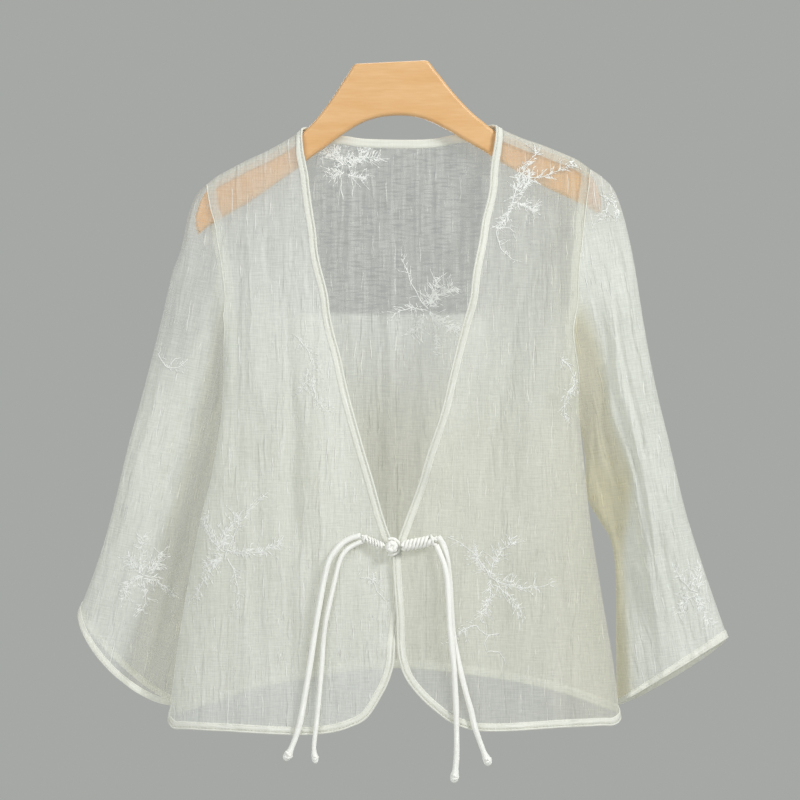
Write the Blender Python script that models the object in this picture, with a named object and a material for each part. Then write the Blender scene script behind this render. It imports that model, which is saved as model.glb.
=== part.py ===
"""Sun protection jacket of sheer ramie with tie closure, hung on a flat wooden hanger.

Metres, +Z up, front towards -Y. The origin is on the top of the hanger, where it is held.
Widths and heights of the cloth are given as they show from the front in the plane of the
hanger, 2.2 m away; real_place() moves each point along its line of sight to its own depth.
"""
import math
from collections import namedtuple

import bmesh
import bpy
from mathutils import Vector

MM = 0.001

# Cloth and seams
CLOTH = 1.2 * MM
BINDING = 2.2 * MM
SEAM_GAP = 0.4 * MM
CUFF_GAP = 0.5 * MM
ARMHOLE_GAP = 0.45 * MM
FRONT_BAND = 8.0 * MM
NECK_BAND = 8.8 * MM
HEM_BAND = 9.0 * MM
CUFF_BAND = 8.5 * MM

# Where the front is seen from
VIEW_DISTANCE = 2.2
VIEW_X = 8.8 * MM
VIEW_Z = -331 * MM

# Hanger: a flat board, turned a little in its own plane
HANGER_THICK = 10.4 * MM
HANGER_ROUND = 3 * MM
HANGER_ROLL = math.radians(2.8)
SHOULDER_ROUND = 8.5

# Steps for slopes on the cloth, in degrees and millimetres, and what still counts as the seam
PROBE_ANGLE = 0.3
PROBE_LEVEL = 0.2
ON_SEAM = 0.6
KEPT_DROP = 20
SEAM_TRIES = 24

# The body's section is an oval; this power makes it flatter than an ellipse
OVAL = 0.8
SEAM_ANGLE = 102

# Share of a front's edge above the turn at the foot of the opening
TURN_SHARE = 0.73

# Rows and columns of the walls
ARM_ROWS = 12
SIDE_ROWS = 9
FRONT_COLUMNS = 12
NECK_STEPS = (0.0, 4.0, 9.0, 16.0, 26.0)
NECK_COLUMNS = 14
SHOULDER_COLUMNS = 6
SLEEVE_RINGS = 18
TOP_STEPS = (0.0, 3.0, 7.0, 13.4, 24.0)
ARMPIT_STEP = 8.0
TUBE_SIDES = 2

# Ties
TIE_CLEAR = 4.3
BOARD_TOP = 33
TIE_STEP = 13
LOWEST_CLOTH = -650
KNOT_RADIUS = 6.4 * MM
KNOT_CLEAR = 0.5
LOOP_RADIUS = 7.6 * MM
LOOP_THICK = 1.5 * MM
LOOP_REACH = 105
LOOP_BACK = 3.5 * MM
BRAID_CLEAR = 0.6
BRAID_RINGS = 12
BRAID_TURNS = 4
BRAID_WAIST = 0.86


def table(names, *rows):
    """A short table with named columns."""
    kind = namedtuple("Row", names)
    return [kind(*row) for row in rows]


# Half of the board's outline in its own frame: distance out, top edge, under edge
BOARD = table(
    "out top under",
    (0, 0, -52.3), (13, 0, -53.1), (26, 0, -56), (33, 0, -58.7), (36.5, -1.2, -60.3),
    (39, -4.2, -61.6), (42.5, -9.5, -63.5), (48.5, -17.5, -67), (54, -25.5, -70.2),
    (60, -33.5, -74.2), (66, -41, -78.4), (78, -54.5, -86), (88, -63.5, -92.5), (99, -73, -101),
    (112, -79, -109), (126, -85.5, -118), (142, -92, -128), (163, -101.5, -139),
    (177, -109.5, -146.5), (187, -118, -152), (194, -128, -157), (199, -141, -160),
)

# The shoulder line that the cloth hangs from, in the board's frame
SHOULDER = table(
    "out height",
    (0, -30), (50, -40), (80, -55), (99, -67.4), (126, -81), (142, -87.4), (163, -97),
    (177, -104), (187, -111.5), (200, -123), (260, -170),
)

# The body by level: its left and right edge and how deep each side fold lies
BODY = table(
    "level left right left_deep right_deep",
    (-660, -218, 225, -8, -8), (-606, -213, 219.5, -8, -8), (-527, -201, 206.5, -9, -8),
    (-449, -186, 194.5, -9, -7), (-410, -176, 190.5, -8, -6), (-331, -165, 184, -7, -4),
    (-270, -163.5, 190, -6, -4), (-240, -174, 203, -4, -3), (-206, -205, 224, -2, -2),
    (-166, -262, 268, 0, 0), (-120, -340, 350, 0, 0), (-60, -430, 440, 0, 0),
)

# How far the cloth stands out before and behind the hanger, by the drop from the shoulder
HANG = table(
    "drop front back",
    (0, 8.5, 8.5), (60, 11, 10), (120, 16, 13), (200, 24, 19), (300, 33, 27), (400, 40, 34),
    (500, 45, 40), (620, 48, 44),
)

# Large soft folds: a line from top to foot, half its width and its height outwards
FOLD_START = 0.22
FOLD_STOP = 0.15
FRONT_FOLDS = table(
    "top_x top_z foot_x foot_z half rise",
    (107, -160, 36, -440, 24, 7), (158, -140, 84, -420, 20, -6), (176, -120, 176, -360, 10, 5),
    (-148, -130, -126, -360, 15, 5), (-120, -160, -93, -500, 14, -5), (-70, -250, -58, -600, 16, 4),
    (-172, -420, -190, -690, 14, 4), (70, -500, 66, -690, 20, 5), (140, -400, 128, -690, 18, -5),
    (180, -400, 196, -690, 13, 5),
)
BACK_FOLDS = table(
    "top_x top_z foot_x foot_z half rise",
    (-120, -130, -140, -680, 20, 6), (-72, -120, -88, -680, 16, -5), (-22, -110, -30, -680, 20, 5),
    (40, -110, 36, -680, 16, -6), (92, -120, 98, -680, 20, 6), (140, -150, 160, -680, 16, -4),
)

# Armhole seams on the front, from the shoulder down to where they turn behind the side fold
ARMHOLE_LEFT = table(
    "x z", (-180, -120), (-177, -142), (-171, -168), (-165, -206), (-163, -240), (-163, -258),
)
ARMHOLE_RIGHT = table(
    "x z", (196, -105.5), (192.5, -130), (189, -163), (184, -207), (182, -242), (181, -285),
)
ARMHOLE_BACK_OUT = 4
ARMPIT_LEFT = -333
ARMPIT_RIGHT = -345

# Finished edges of the two fronts from the neck down to the hem and out to the side
EDGE_LEFT = table(
    "x z",
    (-86, -67), (-86, -84), (-80, -120), (-74, -162), (-69, -199), (-59, -250), (-49, -290),
    (-39, -334), (-25, -384), (-12, -429), (-2, -464), (-0.4, -484), (1.8, -516), (4, -543),
    (4.3, -570), (2.8, -590), (-2, -606.5), (-8.5, -620), (-23, -642.5),
    (-40, -652), (-60, -657.5), (-87, -659.5), (-119, -658.5), (-162, -656), (-199, -654),
    (-213, -653),
)
EDGE_RIGHT = table(
    "x z",
    (102, -66), (100, -87), (97, -109), (91, -147), (86, -176), (80, -207), (72, -250),
    (52, -331), (36, -382), (21, -429), (8, -464), (1.8, -484), (3.1, -516), (5.1, -543),
    (5.6, -570), (8.2, -588), (14, -604), (25.5, -619.5), (40, -633.5), (60, -648), (82, -655),
    (105, -656), (130, -655), (166, -652.5), (205, -650.5), (218, -650),
)
SIDE_CORNER_LEFT = -650
SIDE_CORNER_RIGHT = -648
SIDE_FOOT_LEFT = -642
SIDE_FOOT_RIGHT = -640

# Neck edge of the back, from shoulder to shoulder, and its hem from side to side
BACK_NECK = table(
    "x z", (-86, -67), (-65, -70.5), (-44, -72.5), (-25, -75), (14, -76), (41, -75), (61, -71.5),
    (82, -68.5), (102, -66),
)
BACK_HEM = table(
    "x z", (-203, -637), (-168, -626), (-138, -615), (-83, -604), (-40, -597), (9, -594),
    (57, -598), (107, -605), (156, -615), (206, -632),
)

# Sleeves: the line along the outside of the arm and the line along its inside, from the armhole
OUTER_LEFT = table(
    "x y z",
    (-181, 0, -120), (-191, 0, -130), (-199, 1, -150), (-206, 3, -184), (-214, 6, -206),
    (-225, 10, -253), (-241, 14, -316), (-258, 16, -378), (-273, 18, -441), (-288, 18, -492),
    (-305, 18, -536),
)
INNER_LEFT = table(
    "x y z",
    (-158, 9, -333), (-160, 16, -350), (-161, 23, -375), (-165, 27, -410), (-175, 30, -460),
    (-188, 31, -520), (-199, 31, -580), (-207, 30, -628),
)
OUTER_RIGHT = table(
    "x y z",
    (197, 0, -105.5), (208, 0, -113), (219, 1, -125), (227, 2, -146), (234, 4, -175),
    (240, 6, -207), (248, 10, -258), (259, 13, -316), (274, 15, -378), (289, 16, -441),
    (309, 16, -504), (330, 16, -564),
)
INNER_RIGHT = table(
    "x y z",
    (186, 10, -345), (190, 17, -360), (191, 24, -385), (192, 28, -425), (203, 30, -447),
    (215, 30, -468), (220, 30, -500), (220.5, 30, -560), (221, 29, -630),
)

# How full each sleeve is along its length, and how far its edge sags between those two lines
FULL_LEFT = table(
    "part front back sag_front sag_back tuck",
    (0, 15, 15, 0, 0, 0), (0.12, 17, 17, 0, 0, 0), (0.3, 19, 17, 0, 0, 0),
    (0.55, 22, 18, 3, 2, 4), (0.8, 25, 20, 12, 7, 8), (1, 28, 22, 24.5, 13, 10),
)
FULL_RIGHT = table(
    "part front back sag_front sag_back tuck",
    (0, 15, 15, 0, 0, 0), (0.12, 17, 17, 0, 0, 0), (0.3, 19, 17, 0, 0, 8),
    (0.5, 22, 18, 0, 0, 18), (0.7, 24, 20, 2, 2, 14), (0.85, 26, 21, 2, 4, 4),
    (1, 27, 22, 1, 6, 0),
)
TUCK_START = 0.52
TUCK_END = 0.72
SLEEVE_BLUNT = 0.35
SAG_BLUNT = 0.6
TUCK_FADE = 6
ARMHOLE_FADE = 0.22
ARMPIT_BACK = 0.8

# Ties: routes of the four free ends, from the braids down
TIE_THICK = {
    "tie_left_outer": 5.6, "tie_left_inner": 4.4, "tie_right_inner": 5.4, "tie_right_outer": 5.4,
}
TIE_ROUTES = {
    "tie_left_outer": table(
        "x z over", (-29.6, -463.8, 1.6), (-38, -466, 1.2), (-47.5, -471, 0.8), (-55, -479, 0.4),
        (-61, -489, 0.3), (-66, -509, 0.3), (-72.5, -545, 0.2), (-80, -594, 0), (-88, -641, 0),
        (-93, -660, 0.5), (-99, -675, 1), (-104, -684, 1),
    ),
    "tie_left_inner": table(
        "x z over", (-27.9, -469.4, 1.6), (-38, -474, 1), (-45.5, -480, 0.5), (-50.5, -489, 0),
        (-54.5, -505, 0), (-58.8, -524, 0), (-63.5, -546, 0), (-66, -566, 0), (-67.8, -590, 0),
        (-70, -618, 0), (-72.5, -643, 0), (-74.5, -660, 0.5), (-75.5, -674, 1), (-73.6, -687, 1),
    ),
    "tie_right_inner": table(
        "x z over", (44.4, -473.4, 1.6), (47.8, -481, 4), (52.4, -493, 5.6), (55.2, -508, 6),
        (56.6, -530, 6), (57.6, -552, 5.8), (59.6, -572, 5), (61.6, -592, 3.2), (63, -615, 1),
        (64, -641, 0), (64.2, -680, 1), (61.5, -706, 1),
    ),
    "tie_right_outer": table(
        "x z over", (46, -464.8, 1.6), (51.7, -474, 0.6), (55.6, -490, 0), (57.6, -510, 0),
        (58.6, -530, 0), (60.2, -552, 0), (62.8, -572, 0), (67, -592, 0), (73.5, -618, 0),
        (78.4, -635, 0), (82, -651, 0.5), (90.5, -675, 1), (96.5, -689, 1),
    ),
}
TIE_KNOT = table(
    "back swell", (16, 1.0), (11, 1.3), (7.5, 1.62), (4, 1.68), (1.4, 1.4), (0, 0.7),
)
BRAIDS = {
    "braid_left": ((-7, -474.4), (-25.8, -466.8), 3.7),
    "braid_right": ((10.8, -474.6), (40.4, -468.6), 5.6),
}
KNOT_PLACE = (0.6, -475)

COLOURS = {
    "ramie": ((0.72, 0.73, 0.67), 0.85),
    "binding": ((0.80, 0.80, 0.72), 0.8),
    "cord": ((0.85, 0.85, 0.78), 0.75),
    "beech": ((0.78, 0.50, 0.24), 0.4),
}


def between(rows, value):
    """Read a table at any value of its first column, along a smooth monotone curve."""
    keys = [row[0] for row in rows]
    if keys[0] > keys[-1]:
        rows = rows[::-1]
        keys = keys[::-1]
    if value <= keys[0]:
        return rows[0]
    if value >= keys[-1]:
        return rows[-1]
    at = max(i for i in range(len(keys) - 1) if keys[i] <= value)
    step = keys[at + 1] - keys[at]
    part = (value - keys[at]) / step

    def slope(column, i):
        if i == 0 or i == len(rows) - 1:
            return 0.0 if len(rows) > 2 else (rows[1][column] - rows[0][column]) / step
        before = (rows[i][column] - rows[i - 1][column]) / (keys[i] - keys[i - 1])
        after = (rows[i + 1][column] - rows[i][column]) / (keys[i + 1] - keys[i])
        if before * after <= 0:
            return 0.0
        return 2 * before * after / (before + after)

    values = []
    for column in range(len(rows[0])):
        low = rows[at][column]
        high = rows[at + 1][column]
        rise = slope(column, at) * step
        run = slope(column, at + 1) * step
        square = part * part
        cube = square * part
        values.append(
            low * (2 * cube - 3 * square + 1) + rise * (cube - 2 * square + part)
            + high * (3 * square - 2 * cube) + run * (cube - square)
        )
    return type(rows[0])(*values)


def smooth_step(low, high, value):
    part = min(1.0, max(0.0, (value - low) / (high - low)))
    return part * part * (3 - 2 * part)


def board_place(out, height):
    """A point of the hanger's own plane, turned by the hanger's tilt."""
    return (
        out * math.cos(HANGER_ROLL) - height * math.sin(HANGER_ROLL),
        out * math.sin(HANGER_ROLL) + height * math.cos(HANGER_ROLL),
    )


SHOULDER_LINE = table(
    "x z",
    *(board_place(-row.out, row.height) for row in SHOULDER[::-1]),
    *(board_place(row.out, row.height) for row in SHOULDER[1:]),
)


def real_place(x, y, z):
    """From the place as seen in the hanger's plane, in millimetres, to the real point."""
    scale = 1 + y * MM / VIEW_DISTANCE
    return Vector((
        VIEW_X + (x * MM - VIEW_X) * scale,
        y * MM,
        VIEW_Z + (z * MM - VIEW_Z) * scale,
    ))


def roll_over(drop):
    """Height lost and share of the full depth after a length of cloth from the shoulder."""
    quarter = SHOULDER_ROUND * math.pi / 2
    if drop < quarter:
        angle = drop / SHOULDER_ROUND
        return SHOULDER_ROUND * (1 - math.cos(angle)), math.sin(angle)
    return SHOULDER_ROUND + drop - quarter, 1.0


def folded(folds, x, z):
    """Sum of the large folds at one place."""
    rise = 0.0
    for fold in folds:
        part = (fold.top_z - z) / (fold.top_z - fold.foot_z)
        if part <= 0 or part >= 1:
            continue
        line = fold.top_x + (fold.foot_x - fold.top_x) * part
        fade = smooth_step(0, FOLD_START, part) * smooth_step(0, FOLD_STOP, 1 - part)
        rise += fold.rise * fade * math.exp(-((x - line) / fold.half) ** 2)
    return rise


def body_point(angle, level):
    """The body's surface: angle 0 at the front, -90 at the left fold, level down the cloth."""
    row = between(BODY, level)
    sine = math.sin(math.radians(angle))
    cosine = math.cos(math.radians(angle))
    x = (row.left + row.right) / 2 + (row.right - row.left) / 2 * sine
    top = between(SHOULDER_LINE, x).z
    lost, share = roll_over(max(0.0, top - level))
    hang = between(HANG, top - level)
    flat = abs(cosine) ** OVAL
    side = row.left_deep if sine < 0 else row.right_deep
    if cosine > 0:
        y = side * (1 - flat) - (hang.front + folded(FRONT_FOLDS, x, level)) * flat
    else:
        y = side * (1 - flat) + (hang.back + folded(BACK_FOLDS, x, level)) * flat
    return real_place(x, y * share, top - lost)


def body_normal(angle, level):
    """Outward normal of the body's surface; along the shoulder seam it has no slope forward."""
    across = body_point(angle + PROBE_ANGLE, level) - body_point(angle - PROBE_ANGLE, level)
    top = between(SHOULDER_LINE, body_point(angle, level).x / MM).z
    if top - level < ON_SEAM:
        normal = Vector((-across.z, 0, across.x)).normalized()
        return -normal if normal.z < 0 else normal
    down = body_point(angle, level - PROBE_LEVEL) - body_point(angle, level + PROBE_LEVEL)
    return down.cross(across).normalized()


def angle_at(x, level, behind):
    """The angle at which the body's surface passes x at a level."""
    row = between(BODY, level)
    share = (x - (row.left + row.right) / 2) / ((row.right - row.left) / 2)
    angle = math.degrees(math.asin(min(1.0, max(-1.0, share))))
    return -180 - angle if behind else angle


def on_body(x, z, behind=False):
    """Angle and level of the place seen at x, z on the front, or on the back."""
    top = between(SHOULDER_LINE, x).z
    height = max(0.0, top - z)
    if height < SHOULDER_ROUND:
        drop = SHOULDER_ROUND * math.acos(1 - height / SHOULDER_ROUND)
    else:
        drop = height - SHOULDER_ROUND + SHOULDER_ROUND * math.pi / 2
    return angle_at(x, top - drop, behind), top - drop


def seam_drop(x):
    """Level just below the shoulder line, half a seam's gap away."""
    return between(SHOULDER_LINE, x).z - SEAM_GAP / MM / 2


def on_seam(x, behind=False):
    """Angle and level of the shoulder seam at x."""
    level = seam_drop(x)
    return angle_at(x, level, behind), level


def shoulder_level(angle):
    """The level of the shoulder seam at an angle, found by stepping to it."""
    level = float(SHOULDER[0].height)
    for _ in range(SEAM_TRIES):
        row = between(BODY, level)
        x = (row.left + row.right) / 2 + (row.right - row.left) / 2 * math.sin(math.radians(angle))
        level = seam_drop(x)
    return level


def smooth_curve(points, steps=14):
    """A dense curve through points of any dimension."""
    points = [tuple(point) for point in points]
    ends = [points[0]] + points + [points[-1]]
    curve = []
    for i in range(1, len(ends) - 2):
        before, start, stop, after = ends[i - 1:i + 3]
        for step in range(steps):
            t = step / steps
            curve.append(tuple(
                0.5 * (2 * b + (c - a) * t + (2 * a - 5 * b + 4 * c - d) * t * t
                       + (3 * b - a - 3 * c + d) * t ** 3)
                for a, b, c, d in zip(before, start, stop, after)
            ))
    curve.append(points[-1])
    return curve


def lengths(curve, place):
    """Running length of a curve in millimetres, once its points are placed in space."""
    spots = [place(*point) for point in curve]
    total = [0.0]
    for a, b in zip(spots, spots[1:]):
        total.append(total[-1] + (b - a).length / MM)
    return total


def at_lengths(curve, running, wanted):
    """Points of a curve at given running lengths."""
    found = []
    at = 0
    for length in wanted:
        while at < len(running) - 2 and running[at + 1] < length:
            at += 1
        span = running[at + 1] - running[at]
        part = (length - running[at]) / span if span > 0 else 0.0
        part = min(1.0, max(0.0, part))
        found.append(tuple(
            a + (b - a) * part for a, b in zip(curve[at], curve[at + 1])
        ))
    return found


def spread(start, stop, count):
    return [start + (stop - start) * i / count for i in range(count + 1)]


def along_seam(angle, level, width):
    """A point of the shoulder seam moved away from the neck along the seam."""
    here = body_point(angle, level)
    outward = 1 if (here.x > VIEW_X) == (angle > -90) else -1
    degree = (body_point(angle + outward, level) - here).length
    moved = angle + outward * width / degree
    return moved, shoulder_level(moved)


def inset(curve, width, side):
    """A curve on the body moved inwards by a width; side is +1 or -1 of its direction."""
    moved = []
    for i, (angle, level) in enumerate(curve):
        drop = between(SHOULDER_LINE, body_point(angle, level).x / MM).z - level
        if drop < 1:
            moved.append(along_seam(angle, level, width))
            continue
        along = body_point(*curve[min(len(curve) - 1, i + 1)]) - body_point(*curve[max(0, i - 1)])
        inward = body_normal(angle, level).cross(along.normalized()) * side
        turn = body_point(angle + PROBE_ANGLE, level) - body_point(angle - PROBE_ANGLE, level)
        rise = body_point(angle, level + PROBE_LEVEL) - body_point(angle, level - PROBE_LEVEL)
        turn /= 2 * PROBE_ANGLE
        rise /= 2 * PROBE_LEVEL
        square = turn.dot(turn) * rise.dot(rise) - turn.dot(rise) ** 2
        by_turn = inward.dot(turn) * width
        by_rise = inward.dot(rise) * width
        new_angle = angle + (by_turn * rise.dot(rise) - by_rise * turn.dot(rise)) / square
        new_level = level + (by_rise * turn.dot(turn) - by_turn * turn.dot(rise)) / square
        top = between(SHOULDER_LINE, body_point(new_angle, new_level).x / MM).z
        if drop < KEPT_DROP:
            new_level = min(new_level, top - drop)
        moved.append((new_angle, new_level))
    return moved


def nudge(curve, towards, distance):
    """A curve on the body moved a little towards a second one with as many points."""
    moved = []
    for (a, b), (c, d) in zip(curve, towards):
        span = (body_point(c, d) - body_point(a, b)).length
        part = distance / span
        moved.append((a + (c - a) * part, b + (d - b) * part))
    return moved


def halfway(one, other):
    """The curve midway between two curves with as many points."""
    return [tuple((a + b) / 2 for a, b in zip(p, q)) for p, q in zip(one, other)]


def patch(outer, inner, foot, head):
    """A grid between four edges that share their corners: rows go up, columns go inwards."""
    rows = len(outer) - 1
    columns = len(foot) - 1
    grid = []
    for r in range(rows + 1):
        up = r / rows
        line = []
        for c in range(columns + 1):
            over = c / columns
            line.append(tuple(
                (1 - over) * outer[r][i] + over * inner[r][i]
                + (1 - up) * foot[c][i] + up * head[c][i]
                - (1 - over) * (1 - up) * foot[0][i] - over * (1 - up) * foot[-1][i]
                - (1 - over) * up * head[0][i] - over * up * head[-1][i]
                for i in range(2)
            ))
        grid.append(line)
    return grid


def add_piece(name, data, kind):
    """A named object with its own material."""
    colour, rough = COLOURS[kind]
    material = bpy.data.materials.new(name)
    material.use_nodes = True
    shader = material.node_tree.nodes["Principled BSDF"]
    shader.inputs["Base Color"].default_value = (*colour, 1)
    shader.inputs["Roughness"].default_value = rough
    data.materials.append(material)
    piece = bpy.data.objects.new(name, data)
    bpy.context.scene.collection.objects.link(piece)
    return piece


def wall(name, spots, normals, thickness, kind, round_about=False):
    """A wall of even thickness about a grid of points; its rims stand square to the cloth."""
    rows = len(spots)
    columns = len(spots[0])
    corners = []
    for side in (0.5, -0.5):
        for r in range(rows):
            for c in range(columns):
                corners.append(spots[r][c] + normals[r][c] * thickness * side)

    def at(side, r, c):
        return side * rows * columns + r * columns + c % columns

    faces = []
    spans = columns if round_about else columns - 1
    for r in range(rows - 1):
        for c in range(spans):
            faces.append((at(0, r, c), at(0, r, c + 1), at(0, r + 1, c + 1), at(0, r + 1, c)))
            faces.append((at(1, r, c), at(1, r + 1, c), at(1, r + 1, c + 1), at(1, r, c + 1)))
    for c in range(spans):
        faces.append((at(0, 0, c), at(1, 0, c), at(1, 0, c + 1), at(0, 0, c + 1)))
        last = rows - 1
        faces.append((at(0, last, c), at(0, last, c + 1), at(1, last, c + 1), at(1, last, c)))
    if not round_about:
        for r in range(rows - 1):
            faces.append((at(0, r, 0), at(0, r + 1, 0), at(1, r + 1, 0), at(1, r, 0)))
            last = columns - 1
            faces.append((at(0, r, last), at(1, r, last), at(1, r + 1, last), at(0, r + 1, last)))
    mesh = bpy.data.meshes.new(name)
    mesh.from_pydata(corners, [], faces)
    shell = bmesh.new()
    shell.from_mesh(mesh)
    bmesh.ops.recalc_face_normals(shell, faces=shell.faces)
    bmesh.ops.triangulate(shell, faces=shell.faces)
    shell.to_mesh(mesh)
    shell.free()
    mesh.shade_smooth()
    mesh.set_sharp_from_angle(angle=math.radians(50))
    return add_piece(name, mesh, kind)


def lay(name, grid, thickness, kind, seam_normals=None):
    """Build a wall on the body's surface from a grid of angles and levels."""
    spots = [[body_point(*spot) for spot in line] for line in grid]
    normals = [[body_normal(*spot) for spot in line] for line in grid]
    for (r, c), normal in (seam_normals or {}).items():
        normals[r][c] = normal
    return wall(name, spots, normals, thickness, kind)


def tube(name, points, radius, kind, swell=None):
    """A round cord along points, thicker where swell says so."""
    data = bpy.data.curves.new(name, "CURVE")
    data.dimensions = "3D"
    data.bevel_depth = radius
    data.bevel_resolution = TUBE_SIDES
    data.use_fill_caps = True
    line = data.splines.new("POLY")
    line.points.add(len(points) - 1)
    for i, point in enumerate(points):
        line.points[i].co = (*point, 1)
        line.points[i].radius = swell[i] if swell else 1.0
    return add_piece(name, data, kind)


def make_hanger():
    """The flat wooden hanger that the jacket hangs on."""
    top = [row for row in BOARD if row.out >= BOARD_TOP]
    outline = [board_place(row.out, row.top) for row in top]
    outline += [board_place(row.out, row.under) for row in BOARD[::-1]]
    outline += [board_place(-row.out, row.under) for row in BOARD[1:]]
    outline += [board_place(-row.out, row.top) for row in top[::-1]]
    data = bpy.data.curves.new("hanger", "CURVE")
    data.dimensions = "2D"
    data.fill_mode = "BOTH"
    data.extrude = HANGER_THICK / 2 - HANGER_ROUND
    data.bevel_depth = HANGER_ROUND
    data.bevel_resolution = 1
    data.offset = -HANGER_ROUND
    line = data.splines.new("POLY")
    line.points.add(len(outline) - 1)
    for i, (x, z) in enumerate(outline):
        line.points[i].co = (x * MM, z * MM, 0, 1)
    line.use_cyclic_u = True
    board = add_piece("hanger", data, "beech")
    board.rotation_euler = (math.pi / 2, 0, 0)


def armhole(front_rows, armpit, side):
    """The armhole loop on the body: front half down, then the back half up."""
    front = [on_seam(front_rows[0].x)]
    front += [on_body(row.x, row.z) for row in front_rows[1:]]
    low = (side * SEAM_ANGLE, armpit)
    front.append(low)
    behind = [on_seam(front_rows[0].x, True)]
    behind += [
        on_body(row.x + side * ARMHOLE_BACK_OUT * smooth_step(0, 2, i), row.z, True)
        for i, row in enumerate(front_rows[1:-1], 1)
    ]
    if side > 0:
        behind = [(angle + 360, level) for angle, level in behind]
    behind.append(low)
    loops = []
    for half in (front, behind):
        curve = smooth_curve(half)
        running = lengths(curve, body_point)
        rest = spread(TOP_STEPS[-1], running[-1] - ARMPIT_STEP, ARM_ROWS - len(TOP_STEPS))
        wanted = list(TOP_STEPS) + rest[1:] + [running[-1]]
        loops.append(at_lengths(curve, running, wanted))
    return loops


class Sleeve:
    """One sleeve's surface: from the armhole loop to the cuff."""

    def __init__(self, outer, inner, full, loops, side):
        self.side = side
        self.full = full
        self.outer = smooth_curve(outer)
        self.inner = smooth_curve(inner)
        self.outer_run = lengths(self.outer, real_place)
        self.inner_run = lengths(self.inner, real_place)
        front, behind = loops
        self.loop = front + behind[-2:0:-1]
        self.around = len(self.loop)
        self.half = len(front) - 1
        self.hole = [body_point(*spot) for spot in self.loop]
        self.shares = self.half_shares(self.hole[:self.half + 1])
        back = [self.hole[0]] + self.hole[:self.half - 1:-1]
        self.back_shares = self.half_shares(back)
        plain = [self.plain(0.0, k) for k in range(self.around)]
        self.miss = [hole - spot for hole, spot in zip(self.hole, plain)]

    @staticmethod
    def half_shares(points):
        total = [0.0]
        for a, b in zip(points, points[1:]):
            total.append(total[-1] + (b - a).length)
        return [length / total[-1] for length in total]

    def share(self, k):
        if k <= self.half:
            return self.shares[k], True
        return self.back_shares[self.around - k], False

    def plain(self, part, k):
        """A point of the sleeve before it is fitted to the armhole."""
        k = k % self.around
        share, front = self.share(k)
        outer = at_lengths(self.outer, self.outer_run, [part * self.outer_run[-1]])[0]
        inner = at_lengths(self.inner, self.inner_run, [part * self.inner_run[-1]])[0]
        row = between(self.full, part)
        x, y, z = (a + (b - a) * share for a, b in zip(outer, inner))
        bow = max(0.0, 4 * share * (1 - share))
        long = math.hypot(inner[0] - outer[0], inner[2] - outer[2])
        down = ((inner[2] - outer[2]) / long * -self.side, (inner[0] - outer[0]) / long * self.side)
        sag = (row.sag_front if front else row.sag_back) * bow ** SAG_BLUNT
        x += down[0] * sag
        z += down[1] * sag
        if front:
            y -= row.front * bow ** SLEEVE_BLUNT
            y += row.tuck * smooth_step(TUCK_START, TUCK_END, share) * (1 - share ** TUCK_FADE)
        else:
            y += row.back * bow ** SLEEVE_BLUNT
        return real_place(x, y, z)

    def point(self, part, k):
        fit = 1 - smooth_step(0, ARMHOLE_FADE, part)
        return self.plain(part, k) + self.miss[k % self.around] * fit

    def normal(self, part, k):
        around = self.point(part, k + 1) - self.point(part, k - 1)
        low = max(0.0, part - 0.01)
        along = self.point(min(1.0, part + 0.01), k) - self.point(low, k)
        return around.cross(along).normalized() * self.side


def make_sleeve(name, cuff, sleeve):
    """A sleeve and its cuff; gives back the normals that its seam shares with the body."""
    long = sleeve.outer_run[-1]
    gap = CUFF_GAP / MM / long
    turn = 1 - CUFF_BAND / MM / long
    parts = spread(0, turn - gap, SLEEVE_RINGS)
    parts.insert(1, parts[1] / 2)
    spots = [[sleeve.point(part, k) for k in range(sleeve.around)] for part in parts]
    normals = [[sleeve.normal(part, k) for k in range(sleeve.around)] for part in parts]
    shared = {}
    for k, spot in enumerate(sleeve.loop):
        both = normals[0][k] + body_normal(*spot)
        shared[k] = both.normalized()
        normals[0][k] = shared[k]
        before = sleeve.hole[k - 1]
        after = sleeve.hole[(k + 1) % sleeve.around]
        across = (after - before).cross(shared[k]).normalized()
        if across.dot(spots[1][k] - spots[0][k]) < 0:
            across.negate()
        if k == sleeve.half:
            across = Vector((sleeve.side, ARMPIT_BACK, 0)).normalized()
        spots[0][k] = spots[0][k] + across * ARMHOLE_GAP
    seam = [sleeve.normal(turn, k) for k in range(sleeve.around)]
    normals[-1] = seam
    wall(name, spots, normals, CLOTH, "ramie", round_about=True)
    ends = spread(turn, 1.0, 2)
    spots = [[sleeve.point(part, k) for k in range(sleeve.around)] for part in ends]
    normals = [seam for _ in ends]
    wall(cuff, spots, normals, BINDING, "binding", round_about=True)
    return shared


def edge_curve(rows, corner, foot, side):
    """The whole finished edge of one front, from the neck to the side seam."""
    points = [on_seam(rows[0].x)]
    points += [on_body(row.x, row.z) for row in rows[1:]]
    points += [(side * 90, corner), (side * SEAM_ANGLE, foot)]
    return smooth_curve(points)


def seam_curve(armpit, foot, side):
    """The side seam from the hem up to the armpit."""
    return [(side * SEAM_ANGLE, level) for level in spread(foot, armpit, SIDE_ROWS)]


def side_radius(level, side):
    """Millimetres of cloth in one degree round the side seam."""
    a = body_point(side * SEAM_ANGLE - 0.5, level)
    b = body_point(side * SEAM_ANGLE + 0.5, level)
    return (a - b).length / MM


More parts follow.
